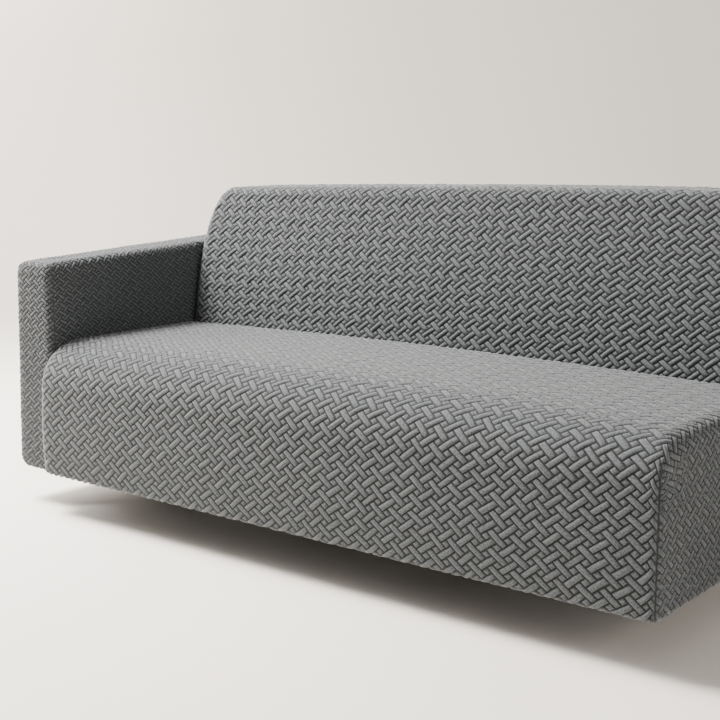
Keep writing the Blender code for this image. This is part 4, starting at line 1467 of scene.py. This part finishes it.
def paper(name, code):
    """Matt painted studio ground: even and dull, so that it takes soft shadows."""
    material = bpy.data.materials.new(name)
    material.use_nodes = True
    tree = material.node_tree
    shader = tree.nodes["Principled BSDF"]
    shader.inputs["Roughness"].default_value = 0.85
    shader.inputs["Specular IOR Level"].default_value = 0.2
    where = node(tree, "ShaderNodeTexCoord", {}, {})
    # Brush and roller marks about 40 mm across, very faint
    marks = node(tree, "ShaderNodeTexNoise", {"Scale": 1 / 0.04, "Detail": 2.0},
                 {"Vector": where.outputs["Object"]})
    even = node(tree, "ShaderNodeMapRange", {"To Min": 0.985, "To Max": 1.015},
                {"Value": marks.outputs["Fac"]})
    colour = node(tree, "ShaderNodeVectorMath",
                  {"operation": "SCALE", "Vector": linear(code)[:3]},
                  {"Scale": even.outputs["Result"]})
    tree.links.new(colour.outputs["Vector"], shader.inputs["Base Color"])
    return material


# ---------------------------------------------------------------- studio

# Camera place from the sofa's corner in metres, and the directions it is turned to
CAMERA_PLACE = (2.8269, -2.0409, 0.9656)
CAMERA_RIGHT = (0.78190, 0.62338, -0.00298)
CAMERA_UP = (-0.10390, 0.13507, 0.98537)
CAMERA_FORWARD = (-0.61466, 0.77015, -0.17038)
SENSOR = 36.0
FARTHEST = 100.0

# The wall stands square to the camera's direction, far enough behind to walk round the sofa
WALL_TURN = 38.6
WALL_FAR = 6.4
WALL_ROUND = 1.6
WALL_HIGH = 6.5
FLOOR_FRONT = -9.0
GROUND_HALF = 12.0

# Soft lights: name, power setting, size, place and target in metres from the cover's mount
LIGHTS = (
    ("window light", "key_power", 1.7, (-2.0, -0.8, 3.1), (-0.2, 0.0, 0.0)),
    ("side window", "side_power", 2.0, (-3.2, -0.6, 1.2), (-0.8, -0.5, -0.4)),
    ("fill light", "fill_power", 3.0, (6.0, -0.6, 2.0), (-0.6, 0.0, 0.0)),
    ("wall light", "wall_power", 2.0, (-5.6, 1.6, 2.6), (-4.6, 4.2, 0.9)),
)
LIGHT_COLOUR = "#FFFAF4"
ROOM_COLOUR = "#FFF8EF"


def ground(studio):
    """Floor that curves up into the wall behind, in one sheet."""
    profile = [(FLOOR_FRONT, 0.0)]
    profile += [(WALL_FAR - ahead, come) for _, come, ahead in round_edge(WALL_ROUND, 16)]
    profile.append((WALL_FAR, WALL_HIGH))
    turn = math.radians(WALL_TURN)
    places = [(aside * math.cos(turn) - depth * math.sin(turn),
               aside * math.sin(turn) + depth * math.cos(turn), studio.floor + height)
              for depth, height in profile for aside in (-GROUND_HALF, GROUND_HALF)]
    faces = [(first, first + 1, first + 3, first + 2) for first in range(0, len(places) - 2, 2)]
    mesh = bpy.data.meshes.new("ground")
    mesh.from_pydata(places, [], faces)
    mesh.shade_smooth()
    backdrop = placed("ground", mesh)
    backdrop.data.materials.append(paper("warm white studio ground", studio.ground_colour))


def light(name, power, size, place, target):
    """A large soft light that faces a target."""
    lamp = bpy.data.lights.new(name, "AREA")
    lamp.energy = power
    lamp.size = size
    lamp.color = linear(LIGHT_COLOUR)[:3]
    holder = placed(name, lamp)
    holder.location = place
    holder.rotation_euler = (Vector(target) - Vector(place)).to_track_quat("-Z", "Y").to_euler()


# ---------------------------------------------------------------- settings and operators

class SlipcoverCloth(bpy.types.PropertyGroup):
    cell_across: FloatProperty(
        name="Cell across", description="Half the width of one cell of the basket pattern",
        default=0.0120, min=0.004, max=0.04, unit="LENGTH")
    cell_up: FloatProperty(
        name="Cell up", description="Half the height of one cell of the basket pattern",
        default=0.0092, min=0.004, max=0.04, unit="LENGTH")
    relief: FloatProperty(
        name="Relief", description="Height of the raised tiles over the grooves",
        default=0.0038, min=0.0, max=0.005, unit="LENGTH")
    top_relief: FloatProperty(
        name="Relief on the seat", description="Share of the relief left where the seat is sat on",
        default=0.75, min=0.0, max=1.0, subtype="FACTOR")
    seed: IntProperty(
        name="Seed", description="Chooses the small differences between tiles", default=7)
    tile_colour: StringProperty(
        name="Tile colour", description="Colour of the raised tiles, as sRGB hex",
        default="#4D5154")
    # Painted shade: darker colour of the tiles' sides, for the shade that falls on them
    shoulder_shade_colour: StringProperty(
        name="Shoulder shade colour", description="Colour of the tiles' sides, as sRGB hex",
        default="#2F3234")
    # Painted shade: near-black colour of the grooves, for the shade that falls into them
    groove_shade_colour: StringProperty(
        name="Groove shade colour", description="Colour between the tiles, as sRGB hex",
        default="#070707")


class SlipcoverStudio(bpy.types.PropertyGroup):
    lens: FloatProperty(
        name="Lens", description="Focal length of the camera on a 36 mm sensor, in millimetres",
        default=65.0, min=20.0, max=200.0)
    floor: FloatProperty(
        name="Floor", description="Height of the floor below the cover's mount",
        default=float(-MOUNT[2]), unit="LENGTH")
    key_power: FloatProperty(
        name="Window light", description="Power of the large soft light on the left",
        default=720.0, min=0.0, unit="POWER")
    side_power: FloatProperty(
        name="Side window", description="Power of the lower light on the left",
        default=170.0, min=0.0, unit="POWER")
    wall_power: FloatProperty(
        name="Wall light", description="Power of the light that washes the wall from the left",
        default=260.0, min=0.0, unit="POWER")
    fill_power: FloatProperty(
        name="Fill light", description="Power of the weak light from the right",
        default=150.0, min=0.0, unit="POWER")
    sky: FloatProperty(
        name="Room light", description="Strength of the even light from all round",
        default=0.48, min=0.0)
    ground_colour: StringProperty(
        name="Ground colour", description="Colour of floor and wall, as sRGB hex",
        default="#E7E2DB")


# Half cells where the pattern is stretched less than on the seat. On the side drop the seat's own
# pattern is tighter: the place across the cloth where that starts, and the share
BACK_CELL = (0.0103, 0.0079)
ARM_CELL = (0.0068, 0.0054)
ARM_FRONT_CELL = (0.0075, 0.0060)
SIDE_TIGHTER = (SEAT_SIDE + SIDE_REACH / 2, 0.62)

# The seat's relief gets lower from this far below its top over this height, and from this far
# behind its front over this depth
PRESSED_BELOW, PRESSED_HEIGHT = 0.03, 0.026
PRESSED_BEHIND, PRESSED_DEPTH = 0.06, 0.2


def seat_calm(place):
    """The relief is pressed flatter where the seat is sat on."""
    cloth = bpy.context.scene.slipcover_cloth
    x, y, z = place.T
    top = np.array([seat_height(float(across)) for across in x])
    level = eased_all((z - top + PRESSED_BELOW) / PRESSED_HEIGHT)
    back = eased_all((y - PRESSED_BEHIND) / PRESSED_DEPTH)
    return 1 - (1 - cloth.top_relief) * level * back


class OBJECT_OT_slipcover_seat(bpy.types.Operator):
    """Sew the seat panel: top, front drop and side drop in one cloth with a dart"""

    bl_idname = "object.slipcover_seat"
    bl_label = "Seat panel"

    def execute(self, context):
        dress("seat_panel", seat_cut(), calm=seat_calm, tighter=SIDE_TIGHTER)
        return {"FINISHED"}


class OBJECT_OT_slipcover_inside_back(bpy.types.Operator):
    """Sew the inside back with its padded edge and the walls behind it"""

    bl_idname = "object.slipcover_inside_back"
    bl_label = "Inside back"

    def execute(self, context):
        dress("inside_back_panel", inside_back_cut(), cell=BACK_CELL)
        return {"FINISHED"}


class OBJECT_OT_slipcover_outside_back(bpy.types.Operator):
    """Sew the outside back and the small panel that closes the back's free end"""

    bl_idname = "object.slipcover_outside_back"
    bl_label = "Outside back and end"

    def execute(self, context):
        dress("outside_back_panel", outside_back_cut())
        dress("back_end_panel", back_end_cut())
        return {"FINISHED"}


class OBJECT_OT_slipcover_arm(bpy.types.Operator):
    """Sew the arm: one cloth round it and a flat panel at each end"""

    bl_idname = "object.slipcover_arm"
    bl_label = "Arm panels"

    def execute(self, context):
        dress("arm_wrap_panel", arm_wrap_cut(), cell=ARM_CELL)
        dress("arm_front_panel", arm_front_cut(), cell=ARM_FRONT_CELL)
        dress("arm_rear_panel", arm_rear_cut())
        return {"FINISHED"}


class OBJECT_OT_slipcover_studio(bpy.types.Operator):
    """Set the floor, the wall behind, the soft lights and the camera"""

    bl_idname = "object.slipcover_studio"
    bl_label = "Studio"

    def execute(self, context):
        studio = context.scene.slipcover_studio
        ground(studio)
        for name, power, size, place, target in LIGHTS:
            light(name, getattr(studio, power), size, place, target)
        world = bpy.data.worlds.new("even room light")
        world.use_nodes = True
        background = world.node_tree.nodes["Background"]
        background.inputs["Color"].default_value = linear(ROOM_COLOUR)
        background.inputs["Strength"].default_value = studio.sky
        context.scene.world = world
        camera = placed("camera", bpy.data.cameras.new("camera"))
        camera.data.sensor_width = SENSOR
        camera.data.lens = studio.lens
        camera.data.clip_end = FARTHEST
        turn = Matrix((CAMERA_RIGHT, CAMERA_UP, -Vector(CAMERA_FORWARD))).transposed().to_4x4()
        camera.matrix_world = Matrix.Translation(Vector(CAMERA_PLACE) - Vector(MOUNT)) @ turn
        context.scene.camera = camera
        return {"FINISHED"}


class VIEW3D_PT_slipcover(bpy.types.Panel):
    """Lists the slipcover's steps"""

    bl_idname = "VIEW3D_PT_slipcover"
    bl_label = "Slipcover"
    bl_space_type = "VIEW_3D"
    bl_region_type = "UI"
    bl_category = "Slipcover"

    def draw(self, context):
        for group in (context.scene.slipcover_cloth, context.scene.slipcover_studio):
            column = self.layout.column()
            for name in group.__annotations__:
                column.prop(group, name)
        for operator in OPERATORS:
            self.layout.operator(operator.bl_idname)


OPERATORS = (
    OBJECT_OT_slipcover_seat,
    OBJECT_OT_slipcover_inside_back,
    OBJECT_OT_slipcover_outside_back,
    OBJECT_OT_slipcover_arm,
    OBJECT_OT_slipcover_studio,
)
CLASSES = (SlipcoverCloth, SlipcoverStudio, *OPERATORS, VIEW3D_PT_slipcover)


def register():
    for kind in CLASSES:
        bpy.utils.register_class(kind)
    bpy.types.Scene.slipcover_cloth = PointerProperty(type=SlipcoverCloth)
    bpy.types.Scene.slipcover_studio = PointerProperty(type=SlipcoverStudio)


def unregister():
    del bpy.types.Scene.slipcover_studio
    del bpy.types.Scene.slipcover_cloth
    for kind in reversed(CLASSES):
        bpy.utils.unregister_class(kind)


def main():
    register()
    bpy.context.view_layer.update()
    bpy.ops.object.slipcover_seat()
    bpy.ops.object.slipcover_inside_back()
    bpy.ops.object.slipcover_outside_back()
    bpy.ops.object.slipcover_arm()
    bpy.ops.object.slipcover_studio()


if __name__ == "__main__":
    main()
